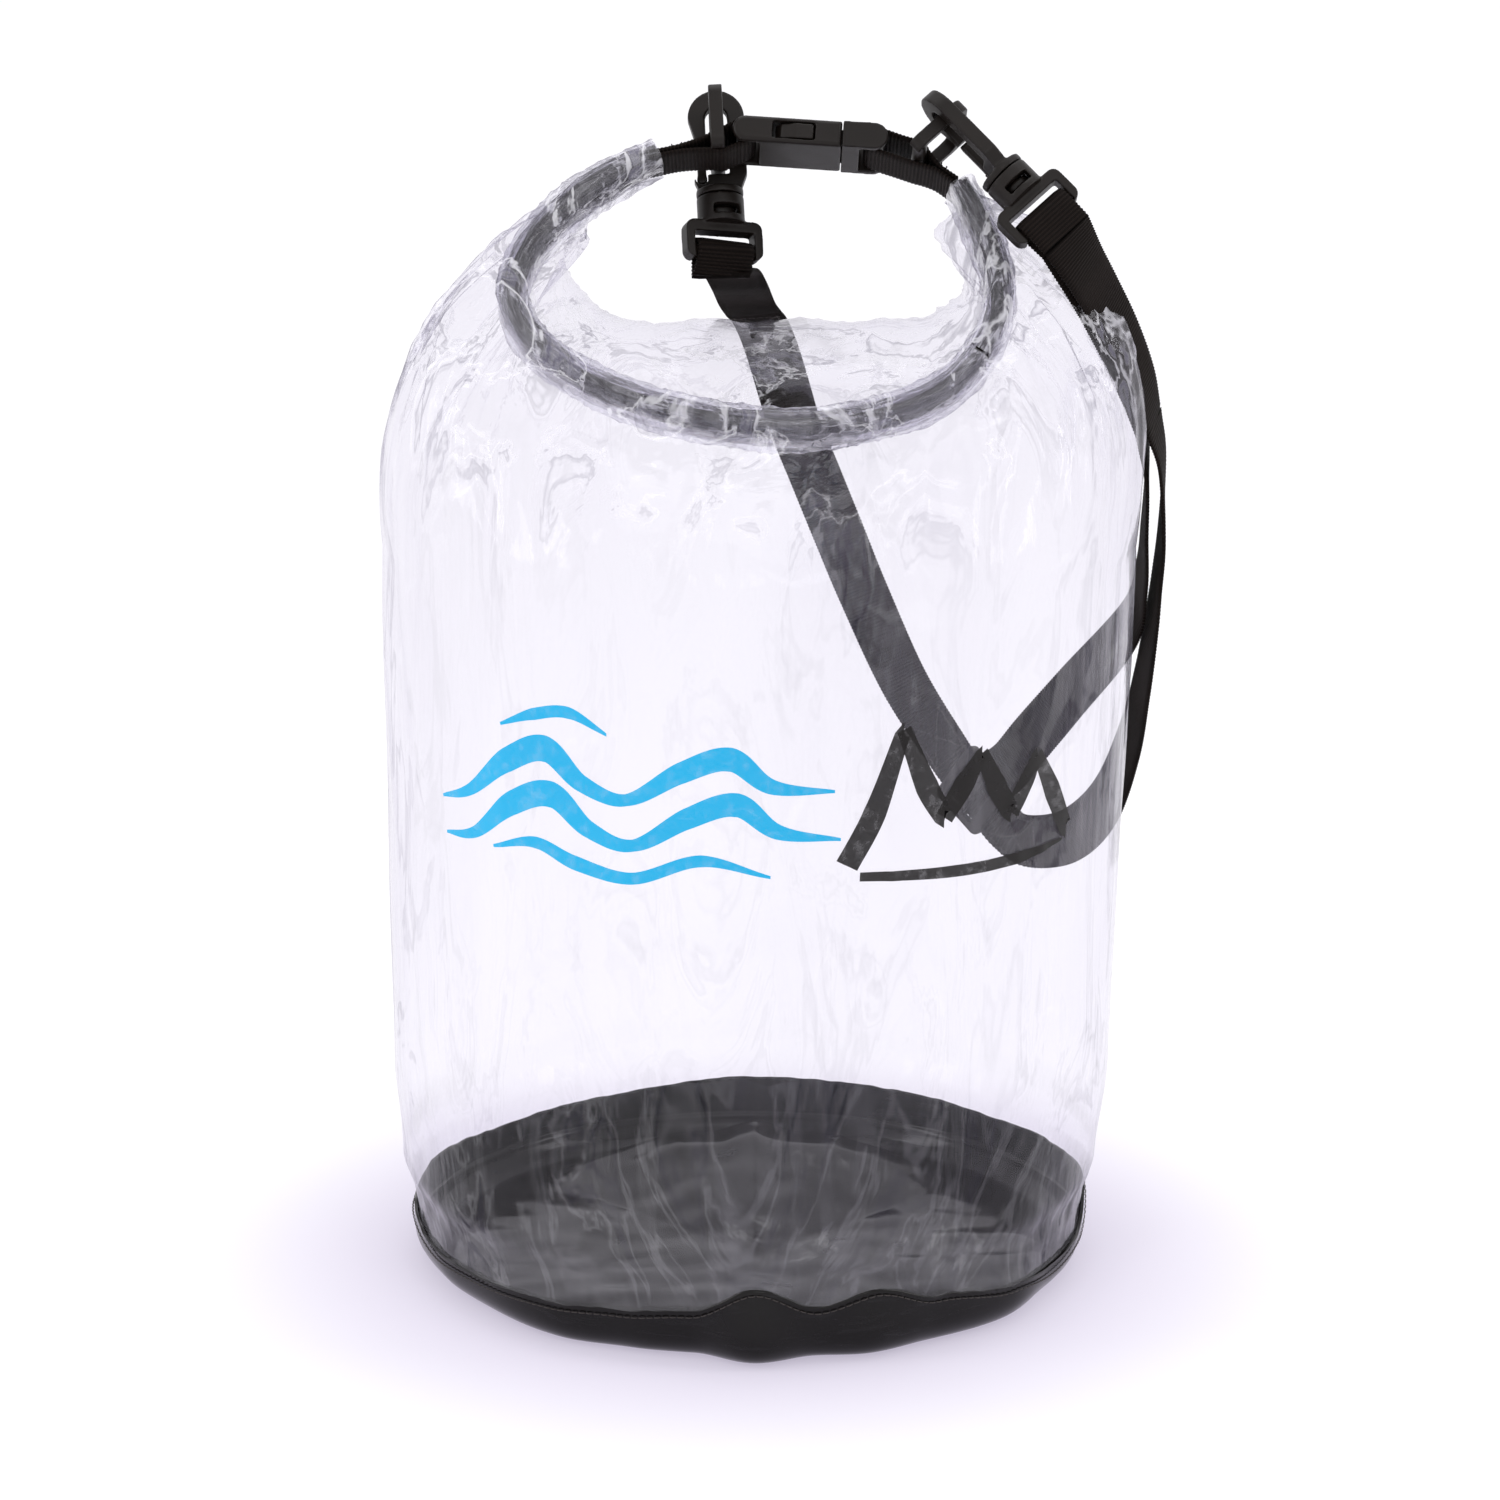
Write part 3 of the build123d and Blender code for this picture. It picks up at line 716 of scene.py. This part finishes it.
def rollTube(name, size, look, span, crumple, seed, tips=1.0, capped=True):
    # tips: how many times thicker the piece is at the ends of the roll than in the sag
    samples = [s for s in evenCurve(rollPoints, 1.2) if span[0] - 1e-6 <= s[1] <= span[1] + 1e-6]
    section = rollSection(*size)
    rows = []
    for i, (p, t, s) in enumerate(samples):
        a = samples[max(0, i - 1)][0]
        b = samples[min(len(samples) - 1, i + 1)][0]
        along = (b - a).normalized()
        side = Vector((-along.y, along.x, 0))
        ends = min(t, len(rollLine) - 1 - t)
        pinch = 1 - 0.16 * clamp(1 - ends / 1.2)
        row = []
        for k, (x, y) in enumerate(section):
            where = Vector((x * 0.22, y * 0.16, s * 0.045 + seed))
            crease = ridged(where.x * 2, where.y * 2, where.z * 2.2, seed) - 0.3
            dent = crumple * (noise.noise(where) + 0.5 * crease)
            swell = pinch * (1 + (tips - 1) * clamp(1 - ends / 6)) + dent / 9
            q = p + side * (x * swell)
            row.append(onHandle(q.x, q.y, y * (pinch + dent / 40)))
        rows.append(row)
    n = len(section)
    points = [q * mm for row in rows for q in row]
    uvs = [(samples[i][2] * mm, k / n) for i in range(len(rows)) for k in range(n)]
    piece = pieceFrom(name, points, grid(len(rows), n, closed=True, caps=capped), look, uvs)
    work = bmesh.new()
    work.from_mesh(piece.data)
    bmesh.ops.recalc_face_normals(work, faces=work.faces)
    work.to_mesh(piece.data)
    work.free()
    return piece


def buildRoll():
    split = rollShape["split"]
    for side, span, nodes, stripNode in (
        ("left", (0.0, split), ("mouth_roll", "left_roll_arm"), "mouth_strip"),
        ("right", (split, len(rollLine) - 1), ("right_roll_arm",), "right_arm_strip"),
    ):
        skin = rollTube(side + "RollSkin", rollShape["skin"], rollFilmLook, span, 2.2, 3.0, capped=False)
        core = rollTube(side + "RollCore", rollShape["core"], rollCoreLook, span, 1.8, 9.0, capped=False)
        strip = rollTube(side + "RollStrip", rollShape["strip"], webbingLook, span, 0.7, 15.0, tips=2.1)
        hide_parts(*nodes)
        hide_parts(stripNode)
        for piece, slot in ((skin, "clear_film"), (core, "clear_film"), (strip, "stiffener")):
            if side == "left":
                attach(piece, "bag")
            else:
                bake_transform(piece)


buildRoll()
print("roll ready")


# webbing: a woven belt swept along a smooth curve

webbingShape = {
    "width": 20.0,
    "thick": 1.5,
    "pick": 1.3,           # spacing of the cross ribs
    "ribHeight": 0.14,
    "edgeWave": 0.3,
    "columns": 9,          # points across each face
    "step": 0.33,          # spacing of the points along it
    "fold": 3.6,           # radius of its turn round a bar
}


def webbing(name, stations, share=(0.0, 1.0)):
    # stations: (centre, direction across) in mm; returns the piece and where its length starts and ends
    columns, half, side = webbingShape["columns"], webbingShape["width"] / 2, webbingShape["thick"] / 2
    acrosses = [Vector(a).normalized() for _, a in stations]
    spots = [half * (2 * k / (columns - 1) - 1) for k in range(columns)]
    profile = [(x, side) for x in spots] + [(-x, -side) for x in spots]
    rows, uvs = [], []
    line = evenCurve([Vector(c) for c, _ in stations], webbingShape["step"])
    first, final = round(share[0] * (len(line) - 1)), round(share[1] * (len(line) - 1))
    for i in range(first, final + 1):
        p, t, s = line[i]
        a = line[max(0, i - 1)][0]
        b = line[min(len(line) - 1, i + 1)][0]
        across, normal = beltAxes(acrosses, t, (b - a).normalized())
        rib = cos(tau * s / webbingShape["pick"])
        row = []
        for x, y in profile:
            # the edges are thinner, and toothed where each rib turns back
            atEdge = abs(x) > 0.99 * half
            wide = x * (1 + webbingShape["edgeWave"] * (rib - 1) / 2 / half) if atEdge else x
            high = y * (0.62 if atEdge else 1) + webbingShape["ribHeight"] * rib * (0.5 if y > 0 else -0.5)
            row.append(p + across * wide + normal * high)
            uvs.append((s * mm, x * mm))
        rows.append(row)
    n = len(profile)
    points = [q * mm for row in rows for q in row]
    piece = pieceFrom(name, points, grid(len(rows), n, closed=True, caps=True), webbingLook, uvs)
    return piece, tuple(line[first][0] * mm), tuple(line[final][0] * mm)


def hooked(at, turn, spine):
    # place of a snap hook: its bend, the way its shank points and where its spine is
    a = radians(turn)
    zAxis = handleAxes @ -Vector((cos(a), sin(a), 0))
    xAxis = handleAxes @ Vector(spine)
    yAxis = zAxis.cross(xAxis)
    place = Matrix((xAxis, yAxis, zAxis)).transposed()
    return onHandle(*at), place


def eyePoint(hook, turn, x, y, z):
    start, place = hook
    a = radians(turn)
    return start + place @ Vector((x * cos(a) - y * sin(a), x * sin(a) + y * cos(a), z))


leftHookPlace = hooked((-11.6, 111.4, -15.9), -87, (1, 0, 0))
rightHookPlace = hooked((64.8, 98.5, 20.5), -47, (0, 0, 1))
eyeBar = -47.6


def eyeLoop(name, hook, turn, tail, gap, body, node):
    # webbing folded round the bar of a swivel eye
    radius = webbingShape["fold"]
    apart = gap + webbingShape["thick"] / 2
    low, high, end = tail[0] - apart, tail[0] + apart, tail[1]
    middle = (end + eyeBar) / 2 - 0.6
    flat = [(low, end), ((low - radius) / 2, middle), (-radius, eyeBar)]
    flat += [(radius * cos(b), eyeBar + radius * sin(b)) for b in (2.4, 1.57, 0.75)]
    flat += [(radius, eyeBar), ((high + radius) / 2, middle), (high, end)]
    across = eyePoint(hook, turn, 1, 0, 0) - eyePoint(hook, turn, 0, 0, 0)
    piece, _, _ = webbing(name, [(eyePoint(hook, turn, 0, y, z), across) for y, z in flat])
    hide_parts(node)
    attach(piece, body)


eyeLoop("leftStrapLoop", leftHookPlace, 20, (3.4, -54.6), 0.35, "left_eye", "left_strap_loop")
eyeLoop("rightStrapLoop", rightHookPlace, 90, (0, -57), 1.85, "right_eye", "right_strap_loop")


def faced(points):
    # (centre, facing) pairs to (centre, across) pairs
    out = []
    for i, (c, facing) in enumerate(points):
        a = Vector(points[max(0, i - 1)][0])
        b = Vector(points[min(len(points) - 1, i + 1)][0])
        out.append((c, Vector(facing).cross((b - a).normalized())))
    return out


leftUpper = [
    ((-9.9, -8.0, 349.6), (0, 0.3, 1)),
    ((-8.2, 2.0, 350.3), (0, 0.3, 1)),
    ((-6.0, 18.0, 347.0), (0, 0.35, 1)),
    ((-3.4, 40.0, 339.2), (0, 0.4, 1)),
    ((-1.0, 62.0, 330.6), (0, 0.4, 1)),
    ((1.2, 74.0, 325.8), (0, 0.5, 1)),
]
backRun = [
    ((1.2, 74.0, 325.8), (0, 0.5, 1)),
    ((4.0, 86.0, 320.6), (0.05, 0.65, 1)),
    ((8.0, 102.0, 308.5), (0.1, 1, 0.8)),
    ((12.5, 115.0, 292.0), (0.1, 1, 0.35)),
    ((17.0, 124.5, 276.0), (0.15, 1, 0.3)),
    ((24.0, 131.0, 258.0), (0.2, 1, 0.1)),
    ((33.0, 129.8, 236.0), (33, 129.5, 0)),
    ((43.0, 127.0, 212.0), (43, 126.5, 0)),
    ((58.0, 120.6, 180.0), (58, 120, 0)),
    ((74.5, 111.0, 155.0), (74.5, 110.4, 0)),
    ((80.2, 107.2, 147.6), (80, 107, 0)),
    ((83.4, 104.6, 143.6), (83, 105, 0)),
]
outerUpper = [
    ((104.0, -46.2, 367.8), (0.0, -0.9, 0.44)),
    ((110.5, -38.5, 357.0), (0.25, -0.9, 0.44)),
    ((117.5, -28.0, 345.0), (0.4, -0.85, 0.4)),
    ((126.0, -16.5, 329.5), (0.6, -0.75, 0.35)),
    ((133.5, -8.0, 313.0), (0.8, -0.6, 0.3)),
    ((138.0, -2.2, 299.2), (1, -0.4, 0.2)),
]
outerRun = [
    ((138.0, -2.2, 299.2), (1, -0.4, 0.2)),
    ((141.6, 2.0, 284.3), (1, -0.2, 0.1)),
    ((142.4, 6.0, 258.4), (1, 0, 0)),
    ((141.5, 11.0, 240.0), (1, 0.05, 0)),
    ((140.5, 14.0, 226.3), (1, 0.1, 0)),
    ((138.5, 22.0, 203.1), (1, 0.16, 0)),
    ((136.0, 40.0, 177.0), (1, 0.3, 0)),
    ((129.4, 60.0, 149.3), (1, 0.48, 0)),
    ((118.0, 77.0, 132.0), (1, 0.68, 0)),
    ((103.5, 90.6, 126.2), (1, 0.9, 0)),
    ((95.2, 97.4, 129.8), (1, 1.05, 0)),
    ((89.2, 101.6, 136.8), (1, 1.1, 0)),
    ((85.2, 103.8, 142.0), (0.9, 1.1, 0)),
]
innerUpper = [
    ((104.0, -41.5, 365.5), (0.0, -0.9, 0.44)),
    ((109.4, -34.7, 355.1), (0.25, -0.9, 0.44)),
    ((115.9, -24.5, 343.3), (0.4, -0.85, 0.4)),
    ((123.6, -13.6, 328.1), (0.6, -0.75, 0.35)),
    ((130.4, -5.7, 311.9), (0.8, -0.6, 0.3)),
    ((134.4, -0.9, 298.7), (1, -0.4, 0.2)),
]
innerRun = [
    ((134.4, -0.9, 298.7), (1, -0.4, 0.2)),
    ((136.9, 7.0, 280.1), (1, -0.1, 0)),
    ((136.9, 11.0, 258.7), (1, 0, 0)),
    ((136.7, 16.0, 241.0), (1, 0.1, 0)),
    ((133.9, 30.0, 221.2), (1, 0.22, 0)),
    ((116.5, 69.0, 187.4), (1, 0.6, 0)),
    ((103.5, 86.5, 166.0), (1, 0.85, 0)),
    ((96.0, 95.0, 153.5), (1, 0.98, 0)),
    ((89.6, 100.4, 147.6), (1, 1.1, 0)),
    ((85.0, 103.2, 143.6), (0.9, 1.1, 0)),
]


def strapPiece(name, node, points, bodies=("bag",)):
    # a strap that crosses joints is cut once for each joint
    count = max(1, len(bodies) - 1)
    for k in range(count):
        label = name if count == 1 else name + str(k + 1)
        piece, start, end = webbing(label, faced(points), (k / count, (k + 1) / count))
        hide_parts(node)
        if len(bodies) == 1:
            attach(piece, bodies[0])
        else:
            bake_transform(piece)


leftChain = ("left_eye", "left_hook", "left_ring", "bag")
rightChain = ("right_eye", "right_hook", "right_ring", "right_arm", "bag")
strapPiece("leftStrapUpper", "left_strap_upper", leftUpper, leftChain)
strapPiece("backStrap", "back_strap", backRun)
strapPiece("outerStrapUpper", "outer_strap_upper", outerUpper, rightChain)
strapPiece("outerStrap", "outer_strap", outerRun)
strapPiece("innerStrapUpper", "inner_strap_upper", innerUpper, rightChain)
strapPiece("innerStrap", "inner_strap", innerRun)


def endLoop(name, bar, ringBar, tail, body, node):
    # doubled webbing from the roll, round the ring's bar and the buckle's bar
    radius = webbingShape["fold"]
    b, r, e = Vector(bar), Vector(ringBar), Vector(tail)
    along = (b - r).normalized()
    up = Vector((-along.y, along.x))
    out = (e - r).normalized()
    path = [e + up * 0.9, e.lerp(r, 0.45) + up * 1.0, r + out * 3.2 + up * 2.4, r + up * radius]
    path += [r.lerp(b, 0.5) + up * radius, b + up * radius, b + along * 2.6 + up * 2.5, b + along * radius]
    path += [b + along * 2.6 - up * 2.5, b - up * radius, r.lerp(b, 0.5) - up * radius, r - up * radius]
    path += [r + out * 3.2 - up * 2.4, e.lerp(r, 0.45) - up * 0.8, e - up * 0.9]
    across = handleAxes @ Vector((0, 0, 1))
    piece, _, _ = webbing(name, [(onHandle(p.x, p.y), across) for p in path])
    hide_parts(node)
    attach(piece, body)


# the buckle's two bars, and for each side the ring's bar and the tail inside the roll
buckleMiddle, buckleTurn, barReach = Vector((20.0, 96.5)), radians(-4.0), 22.4
barStep = Vector((cos(buckleTurn), sin(buckleTurn))) * barReach
leftTail = ((-10.8, 94.3), (-34, 89.5))
rightTail = ((56.3, 90.0), (68.6, 80.5))
endLoop("leftEndLoop", buckleMiddle - barStep, *leftTail, "bag", "left_end_loop")
endLoop("rightEndLoop", buckleMiddle + barStep, *rightTail, "right_arm", "right_end_loop")
print("webbing ready")


# stitches: a node tree lays one raised stitch after another along a row


stitchShape = {
    "Spacing": 0.0027,
    "Length": 0.0022,
    "Thread": 0.00024,     # radius of the thread
    "Jitter": 0.1,         # how much shorter the shortest stitch is
}


def stitchRows():
    tree = bpy.data.node_groups.new("stitchRows", "GeometryNodeTree")
    face = tree.interface
    face.new_socket("Geometry", in_out="INPUT", socket_type="NodeSocketGeometry")
    for label in stitchShape:
        face.new_socket(label, in_out="INPUT", socket_type="NodeSocketFloat")
    face.new_socket("Seed", in_out="INPUT", socket_type="NodeSocketInt")
    face.new_socket("Finish", in_out="INPUT", socket_type="NodeSocketMaterial")
    face.new_socket("Geometry", in_out="OUTPUT", socket_type="NodeSocketGeometry")

    def node(kind, inputs=None, **settings):
        made = tree.nodes.new(kind)
        for key, value in settings.items():
            setattr(made, key, value)
        for key, value in (inputs or {}).items():
            if isinstance(value, bpy.types.NodeSocket):
                tree.links.new(value, made.inputs[key])
            else:
                made.inputs[key].default_value = value
        return made

    given = node("NodeGroupInput").outputs
    rows = node("GeometryNodeMeshToCurve", {0: given["Geometry"]}).outputs[0]
    rows = node("GeometryNodeResampleCurve",
                {"Curve": rows, "Length": given["Spacing"]}, mode="LENGTH").outputs[0]
    tangent = node("GeometryNodeInputTangent").outputs[0]
    facing = node("GeometryNodeInputNamedAttribute",
                  {"Name": "facing"}, data_type="FLOAT_VECTOR").outputs[0]
    turned = node("FunctionNodeAlignRotationToVector", {"Vector": tangent}, axis="X").outputs[0]
    turned = node("FunctionNodeAlignRotationToVector", {"Rotation": turned, "Vector": facing},
                  axis="Z", pivot_axis="X").outputs[0]
    half = node("ShaderNodeMath", {0: given["Length"], 1: 0.5}, operation="MULTIPLY").outputs[0]
    back = node("ShaderNodeMath", {0: half, 1: -1.0}, operation="MULTIPLY").outputs[0]
    rise = node("ShaderNodeMath", {0: given["Thread"], 1: 3.0}, operation="MULTIPLY").outputs[0]
    start = node("ShaderNodeCombineXYZ", {"X": back}).outputs[0]
    middle = node("ShaderNodeCombineXYZ", {"Z": rise}).outputs[0]
    end = node("ShaderNodeCombineXYZ", {"X": half}).outputs[0]
    arc = node("GeometryNodeCurveQuadraticBezier",
               {"Resolution": 5, "Start": start, "Middle": middle, "End": end}).outputs[0]
    ring = node("GeometryNodeCurvePrimitiveCircle", {"Resolution": 7, "Radius": given["Thread"]}).outputs[0]
    stitch = node("GeometryNodeCurveToMesh",
                  {"Curve": arc, "Profile Curve": ring, "Fill Caps": True}).outputs[0]
    least = node("ShaderNodeMath", {0: 1.0, 1: given["Jitter"]}, operation="SUBTRACT").outputs[0]
    size = node("FunctionNodeRandomValue",
                {2: least, 3: 1.0, "Seed": given["Seed"]}, data_type="FLOAT").outputs[1]
    laid = node("GeometryNodeInstanceOnPoints",
                {"Points": rows, "Instance": stitch, "Rotation": turned, "Scale": size}).outputs[0]
    whole = node("GeometryNodeRealizeInstances", {0: laid}).outputs[0]
    finished = node("GeometryNodeSetMaterial", {"Geometry": whole, "Material": given["Finish"]}).outputs[0]
    node("NodeGroupOutput", {0: finished})
    return tree


stitchTree = stitchRows()


def sew(name, rows, body, seed):
    # rows: lists of (point, facing) in mm
    mesh = bpy.data.meshes.new(name)
    points, edges, facings = [], [], []
    for row in rows:
        for k, (p, facing) in enumerate(row):
            if k:
                edges.append((len(points) - 1, len(points)))
            points.append(tuple(Vector(p) * mm))
            facings.extend(Vector(facing).normalized())
    mesh.from_pydata(points, edges, [])
    mesh.attributes.new("facing", "FLOAT_VECTOR", "POINT").data.foreach_set("vector", facings)
    piece = bpy.data.objects.new(name, mesh)
    bpy.context.scene.collection.objects.link(piece)
    sewing = piece.modifiers.new("stitches", "NODES")
    sewing.node_group = stitchTree
    values = {**stitchShape, "Seed": seed, "Finish": threadLook}
    for item in stitchTree.interface.items_tree:
        if item.in_out == "INPUT" and item.name in values:
            sewing[item.identifier] = values[item.name]
    settle(piece)
    for polygon in piece.data.polygons:
        polygon.use_smooth = True
    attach(piece, body)


def tackRows(stations, low, high, lift=-0.95, inset=2.2):
    # a sewn box with a cross on a length of webbing, between two shares of its length;
    # lift: how far off the middle of the webbing, minus for its outer face
    line = evenCurve([Vector(c) for c, _ in stations], 1.0)
    acrosses = [Vector(a).normalized() for _, a in stations]
    half = webbingShape["width"] / 2 - inset

    def spot(share, side):
        i = min(int(share * (len(line) - 1)), len(line) - 2)
        p, t, _ = line[i]
        across, normal = beltAxes(acrosses, t, (line[i + 1][0] - p).normalized())
        return p + across * (side * half) + normal * lift, normal

    def run(shareA, sideA, shareB, sideB):
        return [spot(shareA + (shareB - shareA) * k / 8, sideA + (sideB - sideA) * k / 8) for k in range(9)]

    return [run(low, -1, high, -1), run(high, -1, high, 1), run(high, 1, low, 1), run(low, 1, low, -1),
            run(low, -1, high, 1), run(low, 1, high, -1)]


def rimRow():
    row = []
    for k in range(361):
        angle = 180 + k
        a = radians(angle)
        z = rimAt(angle, 1) - 2.2
        r = baseShape["radius"] + rimPush(angle, z) + 0.55
        row.append((Vector((r * cos(a), r * sin(a), z)), Vector((cos(a), sin(a), 0))))
    return [row]


sew("rimStitches", rimRow(), "bag", 3)
sew("backStrapTop", tackRows(faced(backRun), 0.02, 0.09), "bag", 5)
sew("backStrapEnd", tackRows(faced(backRun), 0.86, 0.94), "bag", 7)
sew("outerStrapEnd", tackRows(faced(outerRun), 0.87, 0.95), "bag", 9)


def tailRows(ringBar, tail):
    # three short rows across the doubled webbing
    r, e = Vector(ringBar), Vector(tail)
    along = (e - r).normalized()
    up = Vector((-along.y, along.x))
    up = up if up.y > 0 else -up
    rows = []
    for share in (0.36, 0.5, 0.64):
        p = r.lerp(e, share) + up * 1.95
        facing = handleAxes @ Vector((up.x, up.y, 0))
        rows.append([(onHandle(p.x, p.y, z), facing) for z in range(-8, 9, 2)])
    return rows


sew("leftEndStitches", tailRows(*leftTail), "bag", 11)
sew("rightEndStitches", tailRows(*rightTail), "right_arm", 13)
print("stitches ready")


# generic print on the film: waves on the left, peaks on the right

printShape = {
    "stand": 0.6,          # how far the ink stands off the film, mm
    "stretch": 2.25,       # mm round the tube for one degree
    "steps": 16,           # points between two marks of a stroke
}


def onFilm(angle, z):
    a = radians(angle)
    r = tubeRadius(z) + filmPush(angle % 360, z, 0) + printShape["stand"]
    return Vector((r * cos(a) + tubeShift(z), r * sin(a), z))


def stroke(points, widths):
    # a brush stroke: its centre line as (angle, height) and its widths
    centres = [Vector((a, z, 0)) for a, z in points]
    stretch, last = printShape["stretch"], len(points) - 1
    tops, bottoms = [], []
    count = printShape["steps"] * last
    for k in range(count + 1):
        t = last * k / count
        i = min(int(t), last - 1)
        p = curvePoint(centres, t)
        w = widths[i] + (widths[i + 1] - widths[i]) * (t - i)
        ahead = curvePoint(centres, min(t + 0.02, last)) - p
        ahead.x *= stretch
        side = Vector((-ahead.y, ahead.x, 0)).normalized() if ahead.length > 1e-9 else Vector((0, 1, 0))
        side.x /= stretch
        tops.append(p + side * w / 2)
        bottoms.append(p - side * w / 2)
    return tops, bottoms


def inkPiece(name, look, strokes, bands=3):
    # each stroke is laid on the film in a few bands across its width
    points, faces = [], []
    for tops, bottoms in strokes:
        for k, (a, b) in enumerate(zip(tops, bottoms)):
            base = len(points)
            for m in range(bands + 1):
                q = b.lerp(a, m / bands)
                points.append(onFilm(q.x, q.y) * mm)
            if k:
                before = base - bands - 1
                faces += [(before + m, base + m, base + m + 1, before + m + 1) for m in range(bands)]
    piece = pieceFrom(name, points, faces, look)
    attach(piece, "bag")


waves = [
    stroke([(216, 186), (223, 191), (231, 204), (238, 210), (244, 200), (251, 196), (259, 206), (266, 211),
            (272, 202), (281, 200)], [1, 4, 8, 9, 6, 4, 7, 8, 5, 1]),
    stroke([(217, 174), (224, 177), (232, 190), (239, 195), (245, 185), (252, 181), (260, 191), (267, 196),
            (273, 187), (282, 184)], [1, 4, 8, 9, 6, 4, 7, 8, 5, 1]),
    stroke([(230, 216), (236, 221), (242, 223), (248, 217)], [1, 4, 4, 1]),
    stroke([(228, 174), (236, 178), (243, 173), (252, 170), (262, 177), (272, 172)], [1, 4, 5, 4, 4, 1]),
]
peaks = [
    stroke([(283, 175), (287, 192), (291, 219)], [8, 8, 5]),
    stroke([(291, 219), (295, 199), (298, 188)], [5, 8, 7]),
    stroke([(298, 188), (301, 198), (304, 208)], [7, 8, 5]),
    stroke([(304, 208), (307, 196), (310, 186)], [5, 8, 7]),
    stroke([(310, 186), (313, 196), (315, 204)], [7, 7, 5]),
    stroke([(315, 204), (319, 190), (323, 175)], [5, 8, 7]),
    stroke([(285, 171), (300, 169.5), (312, 170), (322, 172)], [3, 4, 4, 1]),
]
inkPiece("waveInk", cyanInk, waves)
inkPiece("peakInk", blackInk, peaks)
print("print ready")


# stage, light and camera

stageLook = {
    # the floor's glow near the bag, dimmer and lavender: a painted shadow round its foot
    "shadowNear": (0.47, 0.435, 0.53),
    "floorFar": (0.72, 0.72, 0.72),
    "sky": (0.93, 0.925, 0.95),
    "floorHalf": 14.0,     # half the floor's width, metres
    "floorHeight": -0.0002,
}


def buildStage():
    floor = Shader("paleFloor")
    where = floor.place()
    # the floor glows evenly bright far off; from about 0.24 m in towards the bag its glow dims to a lavender
    # painted shadow
    reach = floor.add("VectorMath", {"operation": "LENGTH"}, {0: where}, output=1)
    stops = [(0.13, stageLook["shadowNear"]), (0.27, stageLook["floorFar"])]
    glow = floor.ramp(reach / 0.9, stops, smooth=True)
    fleck = floor.noise(where, 3, 2)
    floor.set(Base_Color=floor.mix(fleck, (0.33, 0.32, 0.34), (0.335, 0.33, 0.345)), Roughness=0.9)
    floor.set(Specular_IOR_Level=0.0, Emission_Color=glow, Emission_Strength=1.0)
    half, height = stageLook["floorHalf"], stageLook["floorHeight"]
    corners = [(x * half, y * half, height) for x, y in ((-1, -1), (1, -1), (1, 1), (-1, 1))]
    pieceFrom("floor", corners, [(0, 1, 2, 3)], floor.material)
    world = bpy.data.worlds.new("studio")
    bpy.context.scene.world = world
    world.use_nodes = True
    background = world.node_tree.nodes["Background"]
    background.inputs[0].default_value = (*stageLook["sky"], 1)
    background.inputs[1].default_value = 1.0


def softBox(name, place, aim, width, height, power):
    light = bpy.data.lights.new(name, "AREA")
    light.shape = "RECTANGLE"
    light.size, light.size_y = width, height
    light.energy = power
    lamp = bpy.data.objects.new(name, light)
    lamp.location = place
    lamp.rotation_euler = (Vector(aim) - Vector(place)).to_track_quat("-Z", "Y").to_euler()
    bpy.context.scene.collection.objects.link(lamp)


buildStage()
softBox("overheadBox", (0.1, 0.15, 1.9), (0, 0, 0.2), 1.6, 1.4, 9)
softBox("leftBox", (-1.5, -0.5, 0.9), (0, 0, 0.25), 0.4, 1.3, 7)
softBox("rightBox", (1.5, -0.3, 0.9), (0, 0, 0.25), 0.4, 1.3, 6)
softBox("frontBox", (0.4, -2.2, 1.7), (0, 0, 0.2), 1.2, 0.6, 5)

cameraPlace = {"aim": (0, 0, 0.183), "distance": 1.5, "rise": 13.6, "lens": 103.27}
rise = radians(cameraPlace["rise"])
camera = bpy.data.cameras.new("camera")
camera.lens = cameraPlace["lens"]
camera.sensor_width = 36
viewer = bpy.data.objects.new("camera", camera)
aim = Vector(cameraPlace["aim"])
viewer.location = aim + Vector((0, -cos(rise), sin(rise))) * cameraPlace["distance"]
viewer.rotation_euler = (aim - viewer.location).to_track_quat("-Z", "Y").to_euler()
bpy.context.scene.collection.objects.link(viewer)
bpy.context.scene.camera = viewer
bpy.context.scene.view_settings.view_transform = "Standard"
bpy.context.scene.cycles.transparent_max_bounces = 32
print("stage ready")
